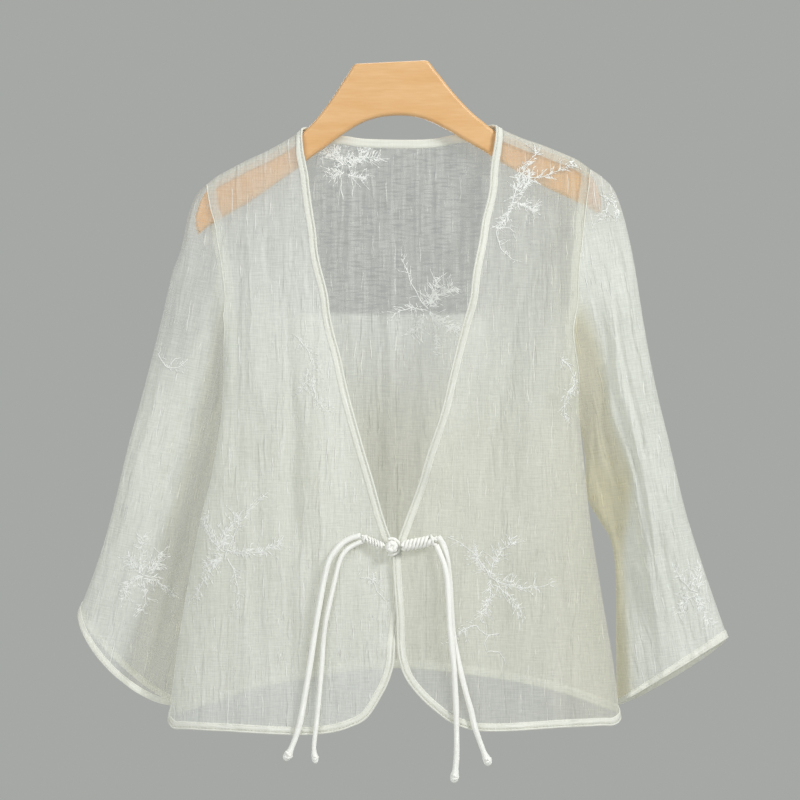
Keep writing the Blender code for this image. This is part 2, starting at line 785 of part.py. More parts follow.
def make_front(name, rows, corner, foot, arm_front, armpit, side, shared):
    """One front and its binding; shared gives the normals along its armhole seam."""
    edge = edge_curve(rows, corner, foot, side)
    running = lengths(edge, body_point)
    turn = running[-1] * TURN_SHARE
    rows_left = SIDE_ROWS + ARM_ROWS - len(TOP_STEPS) + 1
    upper = list(TOP_STEPS) + spread(TOP_STEPS[-1], turn, rows_left)[1:]
    lower = spread(turn, running[-1], FRONT_COLUMNS)[1:]
    rim = at_lengths(edge, running, upper + lower)
    band = inset(rim, FRONT_BAND, side)
    cut = nudge(band, rim, -SEAM_GAP)
    band[-1] = (side * SEAM_ANGLE, band[-1][1])
    cut[-1] = (side * SEAM_ANGLE, cut[-1][1])
    strip = [rim, halfway(rim, band), band]
    gap_angle = side * 0.5 * SEAM_GAP / MM / side_radius(foot, side)
    strip = [[*line[:-1], (line[-1][0] - gap_angle, line[-1][1])] for line in strip]
    lay(name.replace("front", "binding_front"), strip, BINDING, "binding")

    inner = cut[:len(upper)][::-1]
    foot_line = cut[len(upper) - 1:][::-1]
    seam = seam_curve(armpit, foot_line[0][1], side)
    outer = [(angle - gap_angle, level) for angle, level in seam] + arm_front[-2::-1]
    foot_line[0] = outer[0]
    head = [
        (angle, shoulder_level(angle))
        for angle in spread(arm_front[0][0], inner[-1][0], FRONT_COLUMNS)
    ]
    grid = patch(outer, inner, foot_line, head)
    last = SIDE_ROWS + ARM_ROWS
    lay(name, grid, CLOTH, "ramie", {(last - k, 0): shared[k] for k in range(ARM_ROWS + 1)})


def make_back(arm_left, arm_right, seam_left, seam_right):
    """The back, its neck binding and its hem."""
    hem = [(-SEAM_ANGLE, SIDE_FOOT_LEFT)]
    hem += [on_body(row.x, row.z, True) for row in BACK_HEM]
    hem.append((-360 + SEAM_ANGLE, SIDE_FOOT_RIGHT))
    curve = smooth_curve(hem)
    running = lengths(curve, body_point)
    columns = 2 * SHOULDER_COLUMNS + NECK_COLUMNS
    rim = at_lengths(curve, running, spread(0, running[-1], columns))
    band = inset(rim, HEM_BAND, -1)
    cut = nudge(band, rim, -SEAM_GAP)
    gap_left = 0.5 * SEAM_GAP / MM / side_radius(SIDE_FOOT_LEFT, -1)
    gap_right = 0.5 * SEAM_GAP / MM / side_radius(SIDE_FOOT_RIGHT, 1)
    first = -SEAM_ANGLE - gap_left
    final = -360 + SEAM_ANGLE + gap_right
    strip = []
    for line in (rim, band):
        strip.append([(first, line[0][1]), *line[1:-1], (final, line[-1][1])])
    lay("hem_back", [strip[0], halfway(*strip), strip[1]], BINDING, "binding")

    neck = [on_body(row.x, row.z, True) for row in BACK_NECK]
    neck[0] = on_seam(BACK_NECK[0].x, True)
    neck[-1] = on_seam(BACK_NECK[-1].x, True)
    curve = smooth_curve(neck)
    running = lengths(curve, body_point)
    ends = len(NECK_STEPS) - 1
    middle = spread(NECK_STEPS[-1], running[-1] - NECK_STEPS[-1], NECK_COLUMNS - 2 * ends)
    wanted = [*NECK_STEPS[:-1], *middle, *(running[-1] - step for step in NECK_STEPS[-2::-1])]
    neck_rim = at_lengths(curve, running, wanted)
    neck_band = inset(neck_rim, NECK_BAND, 1)
    neck_cut = nudge(neck_band, neck_rim, -SEAM_GAP)
    strip = [neck_rim, halfway(neck_rim, neck_band), neck_band]
    lay("binding_back_neck", strip, BINDING, "binding")

    left_arm = arm_left[::-1]
    right_arm = [(angle - 360, level) for angle, level in arm_right[::-1]]
    left_shoulder = spread(left_arm[-1][0], neck_cut[0][0], SHOULDER_COLUMNS)[:-1]
    right_shoulder = spread(neck_cut[-1][0], right_arm[-1][0], SHOULDER_COLUMNS)[1:]
    head = [(angle, shoulder_level(angle)) for angle in left_shoulder]
    head += neck_cut
    head += [(angle, shoulder_level(angle)) for angle in right_shoulder]
    left_seam = [(first, level) for _, level in seam_curve(ARMPIT_LEFT, cut[0][1], -1)]
    right_seam = [(final, level) for _, level in seam_curve(ARMPIT_RIGHT, cut[-1][1], 1)]
    outer = left_seam + left_arm[1:]
    inner = right_seam + right_arm[1:]
    foot = [outer[0], *cut[1:-1], inner[0]]
    grid = patch(outer, inner, foot, head)
    last = SIDE_ROWS + ARM_ROWS
    around = 2 * ARM_ROWS
    shared = {}
    for k in range(ARM_ROWS + 1):
        shared[(last - k, 0)] = seam_left[(around - k) % around]
        shared[(last - k, columns)] = seam_right[(around - k) % around]
    lay("back_panel", grid, CLOTH, "ramie", shared)


def front_place(x, z, off):
    """A point that lies a distance in front of the cloth, as seen at x, z."""
    spot = body_point(*on_body(x, max(z, LOWEST_CLOTH)))
    return real_place(x, spot.y / MM - off, z)


def tie_place(x, z, over):
    return front_place(x, z, TIE_CLEAR + over)


def make_ties():
    """The braids, the knotted button with its loop, and the four free ends."""
    edge = BINDING / MM / 2
    for name, ((x1, z1), (x2, z2), radius) in BRAIDS.items():
        points = []
        swell = []
        for part in spread(0, 1, BRAID_RINGS):
            x = x1 + (x2 - x1) * part
            z = z1 + (z2 - z1) * part
            points.append(front_place(x, z, edge + BRAID_CLEAR + radius))
            bulge = abs(math.sin(part * math.pi * BRAID_TURNS))
            swell.append(BRAID_WAIST + (1 - BRAID_WAIST) * bulge)
        tube(name, points, radius * MM, "cord", swell)
    centre = front_place(*KNOT_PLACE, edge + KNOT_CLEAR + KNOT_RADIUS / MM)
    mesh = bpy.data.meshes.new("knot_button")
    ball = bmesh.new()
    bmesh.ops.create_uvsphere(ball, u_segments=16, v_segments=10, radius=KNOT_RADIUS)
    ball.to_mesh(mesh)
    ball.free()
    knot = add_piece("knot_button", mesh, "cord")
    knot.location = centre
    arc = []
    for degrees in range(-LOOP_REACH, LOOP_REACH + 1, 15):
        turn = math.radians(degrees)
        around = (LOOP_RADIUS * math.cos(turn), LOOP_BACK, LOOP_RADIUS * math.sin(turn))
        arc.append(centre + Vector(around))
    tube("button_loop", arc, LOOP_THICK, "cord")
    for name, rows in TIE_ROUTES.items():
        curve = smooth_curve(rows)
        running = lengths(curve, tie_place)
        straight = running[-1] - TIE_KNOT[0].back
        wanted = spread(0, straight, round(straight / TIE_STEP))[:-1]
        swell = [1.0] * len(wanted) + [row.swell for row in TIE_KNOT]
        wanted += [running[-1] - row.back for row in TIE_KNOT]
        points = [tie_place(*spot) for spot in at_lengths(curve, running, wanted)]
        tube(name, points, TIE_THICK[name] / 2 * MM, "cord", swell)


def clear():
    for item in list(bpy.data.objects):
        bpy.data.objects.remove(item, do_unlink=True)


def main():
    clear()
    make_hanger()
    arm_left = armhole(ARMHOLE_LEFT, ARMPIT_LEFT, -1)
    arm_right = armhole(ARMHOLE_RIGHT, ARMPIT_RIGHT, 1)
    sleeve_left = Sleeve(OUTER_LEFT, INNER_LEFT, FULL_LEFT, arm_left, -1)
    sleeve_right = Sleeve(OUTER_RIGHT, INNER_RIGHT, FULL_RIGHT, arm_right, 1)
    seam_left = make_sleeve("sleeve_left", "cuff_left", sleeve_left)
    seam_right = make_sleeve("sleeve_right", "cuff_right", sleeve_right)
    make_front(
        "front_left", EDGE_LEFT, SIDE_CORNER_LEFT, SIDE_FOOT_LEFT, arm_left[0], ARMPIT_LEFT, -1,
        seam_left)
    make_front(
        "front_right", EDGE_RIGHT, SIDE_CORNER_RIGHT, SIDE_FOOT_RIGHT, arm_right[0],
        ARMPIT_RIGHT, 1, seam_right)
    make_back(arm_left[1], arm_right[1], seam_left, seam_right)
    make_ties()


main()
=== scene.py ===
"""Sun protection jacket of sheer ramie on a flat wooden hanger, in a plain studio."""
import math
import random
from collections import namedtuple

import bmesh
import bpy
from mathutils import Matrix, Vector
from mathutils.bvhtree import BVHTree
from mathutils.geometry import tessellate_polygon


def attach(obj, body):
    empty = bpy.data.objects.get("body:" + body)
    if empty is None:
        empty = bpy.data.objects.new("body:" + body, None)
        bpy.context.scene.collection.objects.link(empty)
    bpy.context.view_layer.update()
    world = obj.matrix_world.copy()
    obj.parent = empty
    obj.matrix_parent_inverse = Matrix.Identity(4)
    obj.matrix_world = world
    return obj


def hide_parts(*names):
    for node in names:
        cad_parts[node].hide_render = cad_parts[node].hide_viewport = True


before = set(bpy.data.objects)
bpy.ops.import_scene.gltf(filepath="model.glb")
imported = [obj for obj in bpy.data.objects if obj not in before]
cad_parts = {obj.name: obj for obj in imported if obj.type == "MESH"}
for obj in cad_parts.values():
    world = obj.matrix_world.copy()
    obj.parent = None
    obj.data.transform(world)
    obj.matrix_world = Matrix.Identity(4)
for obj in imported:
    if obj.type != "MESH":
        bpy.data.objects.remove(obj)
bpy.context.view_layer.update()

scene = bpy.context.scene

# The studio: a long lens straight in front of the jacket, big soft lamps before, above and
# behind it, a pale floor and a plain grey room. The lens is level at chest height.
MM = 0.001
VIEW_DISTANCE = 2.2
VIEW_X = 8.8 * MM
VIEW_Z = -331 * MM
PIXEL = 0.98 * MM
PICTURE_WIDTH = 800
SENSOR = 36.0
FLOOR_LEVEL = -1.3
FLOOR_RADIUS = 2.4


def linear(text, alpha=1.0):
    """An sRGB hex colour as linear values."""
    parts = [int(text[i:i + 2], 16) / 255 for i in (0, 2, 4)]
    parts = [p / 12.92 if p <= 0.04045 else ((p + 0.055) / 1.055) ** 2.4 for p in parts]
    return (*parts, alpha)


def add(tree, kind, inputs=None, **settings):
    """One shader node: settings are its own fields, inputs are values or links by socket."""
    node = tree.nodes.new("ShaderNode" + kind)
    for name, value in settings.items():
        setattr(node, name, value)
    for socket, value in (inputs or {}).items():
        if isinstance(value, bpy.types.NodeSocket):
            tree.links.new(value, node.inputs[socket])
        else:
            node.inputs[socket].default_value = value
    return node


lens = bpy.data.cameras.new("camera")
lens.sensor_width = SENSOR
lens.lens = SENSOR * VIEW_DISTANCE / (PICTURE_WIDTH * PIXEL)
camera = bpy.data.objects.new("camera", lens)
camera.location = (VIEW_X, -VIEW_DISTANCE, VIEW_Z)
camera.rotation_euler = (math.pi / 2, 0, 0)
scene.collection.objects.link(camera)
scene.camera = camera
scene.view_settings.view_transform = "Standard"
scene.cycles.transparent_max_bounces = 24

room = bpy.data.worlds.new("room")
room.use_nodes = True
tree = room.node_tree
seen = tree.nodes["Background"]
seen.inputs["Color"].default_value = linear("A6A8A5")
bounce = add(tree, "Background", {"Color": linear("E4E8EA"), "Strength": 0.34})
rays = add(tree, "LightPath").outputs["Is Camera Ray"]
walls = add(tree, "MixShader", {0: rays, 1: bounce.outputs[0], 2: seen.outputs[0]})
tree.links.new(walls.outputs[0], tree.nodes["World Output"].inputs["Surface"])
scene.world = room

LAMPS = (
    ("key_lamp", (1.9, -1.7, 1.2), 0.8, 58),
    ("fill_lamp", (-1.7, -2.3, 0.3), 2.0, 35),
    ("top_lamp", (0.2, 1.0, 1.5), 1.2, 12),
    ("back_lamp", (-0.9, 2.4, 0.3), 1.8, 30),
)
AIM = Vector((0, 0, -0.33))
for name, place, size, power in LAMPS:
    lamp = bpy.data.lights.new(name, "AREA")
    lamp.size = size
    lamp.energy = power
    stand = bpy.data.objects.new(name, lamp)
    stand.location = place
    stand.rotation_euler = (AIM - Vector(place)).to_track_quat("-Z", "Y").to_euler()
    stand.visible_camera = False
    scene.collection.objects.link(stand)


def start_material(name):
    """A new material, with its node tree and its main shader."""
    material = bpy.data.materials.new(name)
    material.use_nodes = True
    return material, material.node_tree, material.node_tree.nodes["Principled BSDF"]


floor_mesh = bpy.data.meshes.new("floor")
disc = bmesh.new()
bmesh.ops.create_circle(disc, cap_ends=True, segments=96, radius=FLOOR_RADIUS)
disc.to_mesh(floor_mesh)
disc.free()
floor = bpy.data.objects.new("floor", floor_mesh)
floor.location = (0, 0, FLOOR_LEVEL)
# Matt grey paint: even in colour, without any shine
paint, _, shader = start_material("matt_floor_paint")
shader.inputs["Base Color"].default_value = linear("C9CAC7")
shader.inputs["Roughness"].default_value = 0.9
floor_mesh.materials.append(paint)
scene.collection.objects.link(floor)

# The form that the cloth hangs in: flat over the hanger's arms, an oval further down, with
# soft folds from the shoulders and many small creases from folding and from the body's pull.
# Millimetres as seen from the front in the hanger's plane; level runs down the cloth.
HANGER_ROLL = math.radians(2.8)
SHOULDER_ROUND = 8.5
OVAL = 0.8
SEAM_ANGLE = 102
FOLD_START = 0.22
FOLD_STOP = 0.15
WANDER = 1.6
WANDER_LENGTH = 17


def table(names, *rows):
    """A short table with named columns."""
    kind = namedtuple("Row", names)
    return [kind(*row) for row in rows]


SHOULDER = table(
    "out height",
    (0, -30), (50, -40), (80, -55), (99, -67.4), (126, -81), (142, -87.4), (163, -97),
    (177, -104), (187, -111.5), (200, -123), (260, -170),
)
BODY = table(
    "level left right left_deep right_deep",
    (-660, -218, 225, -8, -8), (-606, -213, 219.5, -8, -8), (-527, -201, 206.5, -9, -8),
    (-449, -186, 194.5, -9, -7), (-410, -176, 190.5, -8, -6), (-331, -165, 184, -7, -4),
    (-270, -163.5, 190, -6, -4), (-240, -174, 203, -4, -3), (-206, -205, 224, -2, -2),
    (-166, -262, 268, 0, 0), (-120, -340, 350, 0, 0), (-60, -430, 440, 0, 0),
)
HANG = table(
    "drop front back",
    (0, 8.5, 8.5), (60, 11, 10), (120, 16, 13), (200, 24, 19), (300, 33, 27), (400, 40, 34),
    (500, 45, 40), (620, 48, 44),
)
FOLD = "top_x top_z foot_x foot_z half rise"
FRONT_FOLDS = table(
    FOLD,
    (107, -160, 36, -440, 24, 8.5), (158, -140, 84, -420, 20, -8), (176, -120, 176, -360, 10, 7),
    (-148, -130, -126, -360, 15, 6.5), (-120, -160, -93, -500, 14, -6.5),
    (-70, -250, -58, -600, 16, 4), (-172, -420, -190, -690, 14, 4), (70, -500, 66, -690, 20, 5),
    (140, -400, 128, -690, 18, -5), (180, -400, 196, -690, 13, 5),
)
BACK_FOLDS = table(
    FOLD,
    (-120, -130, -140, -680, 20, 6), (-72, -120, -88, -680, 16, -5),
    (-22, -110, -30, -680, 20, 5), (40, -110, 36, -680, 16, -6), (92, -120, 98, -680, 20, 6),
    (140, -150, 160, -680, 16, -4),
)
FRONT_CREASES = table(
    FOLD,
    (-96, -250, -91, -500, 3.3, -2.0), (-138, -110, -126, -240, 4.4, 1.4),
    (-143, -112, -149, -262, 3.3, -1.2), (-109, -130, -88, -360, 3.9, 1.4),
    (-156, -255, -172, -460, 3.9, 1.2), (-130, -350, -139, -580, 4.4, -1.4),
    (-152, -480, -160, -690, 5.5, 1.7), (-182, -520, -192, -690, 4.4, -1.5),
    (-79, -400, -71, -680, 4.4, -1.2), (-55, -480, -50, -680, 4.4, 1.2),
    (-119, -470, -120, -690, 4.4, 1.4), (-25, -520, -30, -640, 3.3, -0.8),
    (-102, -300, -107, -440, 2.2, 1.1), (-84, -180, -72, -330, 2.8, -1.0),
    (-120, -230, -112, -330, 2.2, -0.9), (-140, -420, -150, -520, 2.2, 0.9),
    (-98, -520, -96, -650, 2.4, -0.9), (-66, -330, -50, -470, 2.8, 0.8),
    (97, -200, 34, -430, 5.5, 2.0), (157, -150, 95, -330, 6.6, -2.0),
    (131, -125, 76, -360, 3.9, -1.4), (176, -125, 181, -350, 4.4, 1.8),
    (166, -180, 151, -410, 4.4, -1.5), (137, -255, 126, -500, 4.4, 1.4),
    (107, -345, 112, -580, 4.4, -1.4), (136, -450, 137, -570, 1.8, -1.2),
    (84, -455, 85, -640, 2.8, 1.2), (166, -480, 176, -680, 5.5, -1.7),
    (195, -520, 206, -680, 4.4, 1.4), (48, -520, 58, -660, 3.9, 1.0),
    (120, -180, 96, -260, 2.2, 1.0), (150, -330, 140, -430, 2.2, 1.0),
    (72, -380, 66, -500, 2.8, -0.9), (100, -560, 104, -680, 3.3, 1.1),
    (152, -560, 155, -690, 2.6, 1.0), (30, -480, 30, -600, 2.8, -0.7),
    (120, -140, 62, -400, 10, 5.6), (146, -150, 84, -440, 9, -5.8),
    (168, -150, 126, -460, 9, 5.2), (-118, -120, -106, -420, 9, 3.8),
    (-150, -150, -152, -430, 8, -3.6), (-96, -330, -104, -640, 9, -3.4),
    (-140, -420, -146, -680, 9, 3.4), (118, -420, 124, -680, 9, 4.6),
    (160, -440, 170, -690, 9, -4.4),
)
BACK_CREASES = table(
    FOLD,
    (-45, -80, -38, -360, 3.5, -1.5), (-25, -80, -22, -270, 3, 1.2), (1, -80, -3, -460, 4, -1.7),
    (26, -80, 21, -410, 3.5, 1.4), (48, -80, 44, -340, 4, -1.5), (68, -85, 60, -270, 3.5, 1.2),
    (-62, -90, -58, -240, 2.6, 1.0), (-12, -200, -10, -420, 2.4, 1.0),
    (34, -230, 30, -520, 3, -1.1), (-150, -140, -162, -420, 4, 1.5),
    (-122, -120, -128, -380, 3, -1.4), (-96, -110, -104, -520, 4, 1.5),
    (-78, -240, -84, -650, 4, 1.4), (-140, -380, -152, -660, 4, -1.5),
    (-176, -430, -190, -660, 4, 1.4), (-50, -380, -52, -650, 4, -1.4),
    (-20, -430, -20, -650, 3, 1.2), (10, -400, 12, -640, 4, -1.4), (62, -350, 66, -650, 4, 1.5),
    (84, -110, 90, -420, 4, -1.4), (112, -110, 122, -480, 3.5, 1.4),
    (140, -120, 150, -400, 3, -1.2), (164, -140, 176, -420, 4, 1.4),
    (128, -450, 134, -660, 4, -1.4), (176, -440, 190, -660, 4, 1.5),
    (98, -520, 100, -660, 3, -1.1),
)


def between(rows, value):
    """Read a table at any value of its first column, along a smooth monotone curve."""
    keys = [row[0] for row in rows]
    if keys[0] > keys[-1]:
        rows = rows[::-1]
        keys = keys[::-1]
    if value <= keys[0]:
        return rows[0]
    if value >= keys[-1]:
        return rows[-1]
    at = max(i for i in range(len(keys) - 1) if keys[i] <= value)
    step = keys[at + 1] - keys[at]
    part = (value - keys[at]) / step

    def slope(column, i):
        if i == 0 or i == len(rows) - 1:
            return 0.0 if len(rows) > 2 else (rows[1][column] - rows[0][column]) / step
        before = (rows[i][column] - rows[i - 1][column]) / (keys[i] - keys[i - 1])
        after = (rows[i + 1][column] - rows[i][column]) / (keys[i + 1] - keys[i])
        if before * after <= 0:
            return 0.0
        return 2 * before * after / (before + after)

    square = part * part
    cube = square * part
    values = []
    for column in range(len(rows[0])):
        values.append(
            rows[at][column] * (2 * cube - 3 * square + 1)
            + rows[at + 1][column] * (3 * square - 2 * cube)
            + slope(column, at) * step * (cube - 2 * square + part)
            + slope(column, at + 1) * step * (cube - square)
        )
    return type(rows[0])(*values)


def smooth_step(low, high, value):
    part = min(1.0, max(0.0, (value - low) / (high - low)))
    return part * part * (3 - 2 * part)


def board_place(out, height):
    """A point of the hanger's own plane, turned by the hanger's tilt."""
    return (
        out * math.cos(HANGER_ROLL) - height * math.sin(HANGER_ROLL),
        out * math.sin(HANGER_ROLL) + height * math.cos(HANGER_ROLL),
    )


SHOULDER_LINE = table(
    "x z",
    *(board_place(-row.out, row.height) for row in SHOULDER[::-1]),
    *(board_place(row.out, row.height) for row in SHOULDER[1:]),
)


def real_place(x, y, z):
    """From the place as seen in the hanger's plane, in millimetres, to the real point."""
    scale = 1 + y * MM / VIEW_DISTANCE
    return Vector((
        VIEW_X + (x * MM - VIEW_X) * scale, y * MM, VIEW_Z + (z * MM - VIEW_Z) * scale,
    ))


def roll_over(drop):
    """Height lost and share of the full depth after a length of cloth from the shoulder."""
    quarter = SHOULDER_ROUND * math.pi / 2
    if drop < quarter:
        angle = drop / SHOULDER_ROUND
        return SHOULDER_ROUND * (1 - math.cos(angle)), math.sin(angle)
    return SHOULDER_ROUND + drop - quarter, 1.0


def folded(folds, x, z, wander=0.0):
    """Sum of the folds at one place; small creases wander a little to both sides."""
    rise = 0.0
    for fold in folds:
        part = (fold.top_z - z) / (fold.top_z - fold.foot_z)
        if part <= 0 or part >= 1:
            continue
        line = fold.top_x + (fold.foot_x - fold.top_x) * part
        line += wander * math.sin(z / WANDER_LENGTH + fold.top_x)
        off = (x - line) / fold.half
        if abs(off) < 3:
            fade = smooth_step(0, FOLD_START, part) * smooth_step(0, FOLD_STOP, 1 - part)
            rise += fold.rise * fade * math.exp(-off * off)
    return rise


def body_point(angle, level, fine=True):
    """The body's surface: angle 0 at the front, -90 at the left fold, level down the cloth."""
    row = between(BODY, level)
    sine = math.sin(math.radians(angle))
    cosine = math.cos(math.radians(angle))
    x = (row.left + row.right) / 2 + (row.right - row.left) / 2 * sine
    top = between(SHOULDER_LINE, x).z
    lost, share = roll_over(max(0.0, top - level))
    hang = between(HANG, top - level)
    flat = abs(cosine) ** OVAL
    side = row.left_deep if sine < 0 else row.right_deep
    if cosine > 0:
        out = hang.front + folded(FRONT_FOLDS, x, level)
        out += folded(FRONT_CREASES, x, level, WANDER) if fine else 0.0
        y = side * (1 - flat) - out * flat
    else:
        out = hang.back + folded(BACK_FOLDS, x, level)
        out += folded(BACK_CREASES, x, level, WANDER) if fine else 0.0
        y = side * (1 - flat) + out * flat
    return real_place(x, y * share, top - lost)


def angle_at(x, level, behind):
    """The angle at which the body's surface passes x at a level."""
    row = between(BODY, level)
    share = (x - (row.left + row.right) / 2) / ((row.right - row.left) / 2)
    angle = math.degrees(math.asin(min(1.0, max(-1.0, share))))
    return -180 - angle if behind else angle


def on_body(x, z, behind=False):
    """Angle and level of the place seen at x, z on the front, or on the back."""
    top = between(SHOULDER_LINE, x).z
    height = max(0.0, top - z)
    if height < SHOULDER_ROUND:
        drop = SHOULDER_ROUND * math.acos(1 - height / SHOULDER_ROUND)
    else:
        drop = height - SHOULDER_ROUND + SHOULDER_ROUND * math.pi / 2
    return angle_at(x, top - drop, behind), top - drop


def smooth_curve(points, steps=24):
    """A dense curve through points of any dimension."""
    points = [tuple(point) for point in points]
    ends = [points[0]] + points + [points[-1]]
    curve = []
    for i in range(1, len(ends) - 2):
        before, start, stop, after = ends[i - 1:i + 3]
        for step in range(steps):
            t = step / steps
            curve.append(tuple(
                0.5 * (2 * b + (c - a) * t + (2 * a - 5 * b + 4 * c - d) * t * t
                       + (3 * b - a - 3 * c + d) * t ** 3)
                for a, b, c, d in zip(before, start, stop, after)
            ))
    curve.append(points[-1])
    return curve


def lengths(curve, place):
    """Running length of a curve in millimetres, once its points are placed in space."""
    spots = [place(*point) for point in curve]
    total = [0.0]
    for a, b in zip(spots, spots[1:]):
        total.append(total[-1] + (b - a).length / MM)
    return total


def at_lengths(curve, running, wanted):
    """Points of a curve at given running lengths."""
    found = []
    at = 0
    for length in wanted:
        while at < len(running) - 2 and running[at + 1] < length:
            at += 1
        span = running[at + 1] - running[at]
        part = min(1.0, max(0.0, (length - running[at]) / span if span > 0 else 0.0))
        found.append(tuple(a + (b - a) * part for a, b in zip(curve[at], curve[at + 1])))
    return found


def spread(start, stop, count):
    return [start + (stop - start) * i / count for i in range(count + 1)]


def make_piece(name, points, faces, material, grain=None, stands_for=()):
    """A piece from points and faces; grain gives each point its place on the flat cloth."""
    mesh = bpy.data.meshes.new(name)
    mesh.from_pydata(points, [], faces)
    if grain:
        layer = mesh.uv_layers.new(name="grain")
        for loop in mesh.loops:
            layer.data[loop.index].uv = grain[loop.vertex_index]
    mesh.shade_smooth()
    mesh.materials.append(material)
    piece = bpy.data.objects.new(name, mesh)
    scene.collection.objects.link(piece)
    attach(piece, "root")
    if stands_for:
        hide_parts(*stands_for)
    return piece


# The ties: cords rolled from strips of the same ramie and stitched shut along one side, about
# 5 mm thick. Each pair comes out of a plait, hangs in front of the cloth and ends in a knot.
TIE_CLEAR = 4.3
TIE_FLAT = 0.82
TIE_STEP = 3.0
TIE_SIDES = 14
TIE_SEAM = 0.16
TIE_UNEVEN = 0.05
KNOT_BACK = 5.5
KNOT_TURN = 0.64
KNOT_CORD = 0.2
LOWEST_CLOTH = -650
TIE_THICK = {
    "tie_left_outer": 5.6, "tie_left_inner": 4.4, "tie_right_inner": 5.4, "tie_right_outer": 5.4,
}
TIE_ROUTES = {
    "tie_left_outer": table(
        "x z over", (-29.6, -463.8, 1.6), (-38, -466, 1.2), (-47.5, -471, 0.8), (-55, -479, 0.4),
        (-61, -489, 0.3), (-66, -509, 0.3), (-72.5, -545, 0.2), (-80, -594, 0), (-88, -641, 0),
        (-93, -660, 0.5), (-99, -675, 1), (-104, -684, 1),
    ),
    "tie_left_inner": table(
        "x z over", (-27.9, -469.4, 1.6), (-38, -474, 1), (-45.5, -480, 0.5), (-50.5, -489, 0),
        (-54.5, -505, 0), (-58.8, -524, 0), (-63.5, -546, 0), (-66, -566, 0), (-67.8, -590, 0),
        (-70, -618, 0), (-72.5, -643, 0), (-74.5, -660, 0.5), (-75.5, -674, 1), (-73.6, -687, 1),
    ),
    "tie_right_inner": table(
        "x z over", (44.4, -473.4, 1.6), (47.8, -481, 4), (52.4, -493, 5.6), (55.2, -508, 6),
        (56.6, -530, 6), (57.6, -552, 5.8), (59.6, -572, 5), (61.6, -592, 3.2), (63, -615, 1),
        (64, -641, 0), (64.2, -680, 1), (61.5, -706, 1),
    ),
    "tie_right_outer": table(
        "x z over", (46, -464.8, 1.6), (51.7, -474, 0.6), (55.6, -490, 0), (57.6, -510, 0),
        (58.6, -530, 0), (60.2, -552, 0), (62.8, -572, 0), (67, -592, 0), (73.5, -618, 0),
        (78.4, -635, 0), (82, -651, 0.5), (90.5, -675, 1), (96.5, -689, 1),
    ),
}
TIE_KNOT = table(
    "back swell", (0, 0.5), (1.2, 1.1), (3, 1.42), (5.5, 1.5), (8, 1.42), (10.5, 1.2), (14, 1.0),
)


def sweep(points, faces, path, radii, sides, facing, flat=1.0, groove=0.0):
    """Add a closed tube along a path; flat squeezes it towards facing, groove is its seam."""
    first = len(points)
    for i, spot in enumerate(path):
        along = (path[min(i + 1, len(path) - 1)] - path[max(i - 1, 0)]).normalized()
        front = facing[i] if isinstance(facing, list) else facing
        side = along.cross(front).normalized()
        out = side.cross(along).normalized()
        for k in range(sides):
            turn = 2 * math.pi * k / sides
            radius = radii[i] * (1 - groove * (k == sides // 8))
            points.append(
                spot + side * radius * math.cos(turn) + out * radius * flat * math.sin(turn))
    for i in range(len(path) - 1):
        low = first + i * sides
        for k in range(sides):
            after = (k + 1) % sides
            faces.append((low + k, low + after, low + sides + after, low + sides + k))
    faces.append(tuple(range(first + sides - 1, first - 1, -1)))
    last = first + (len(path) - 1) * sides
    faces.append(tuple(range(last, last + sides)))


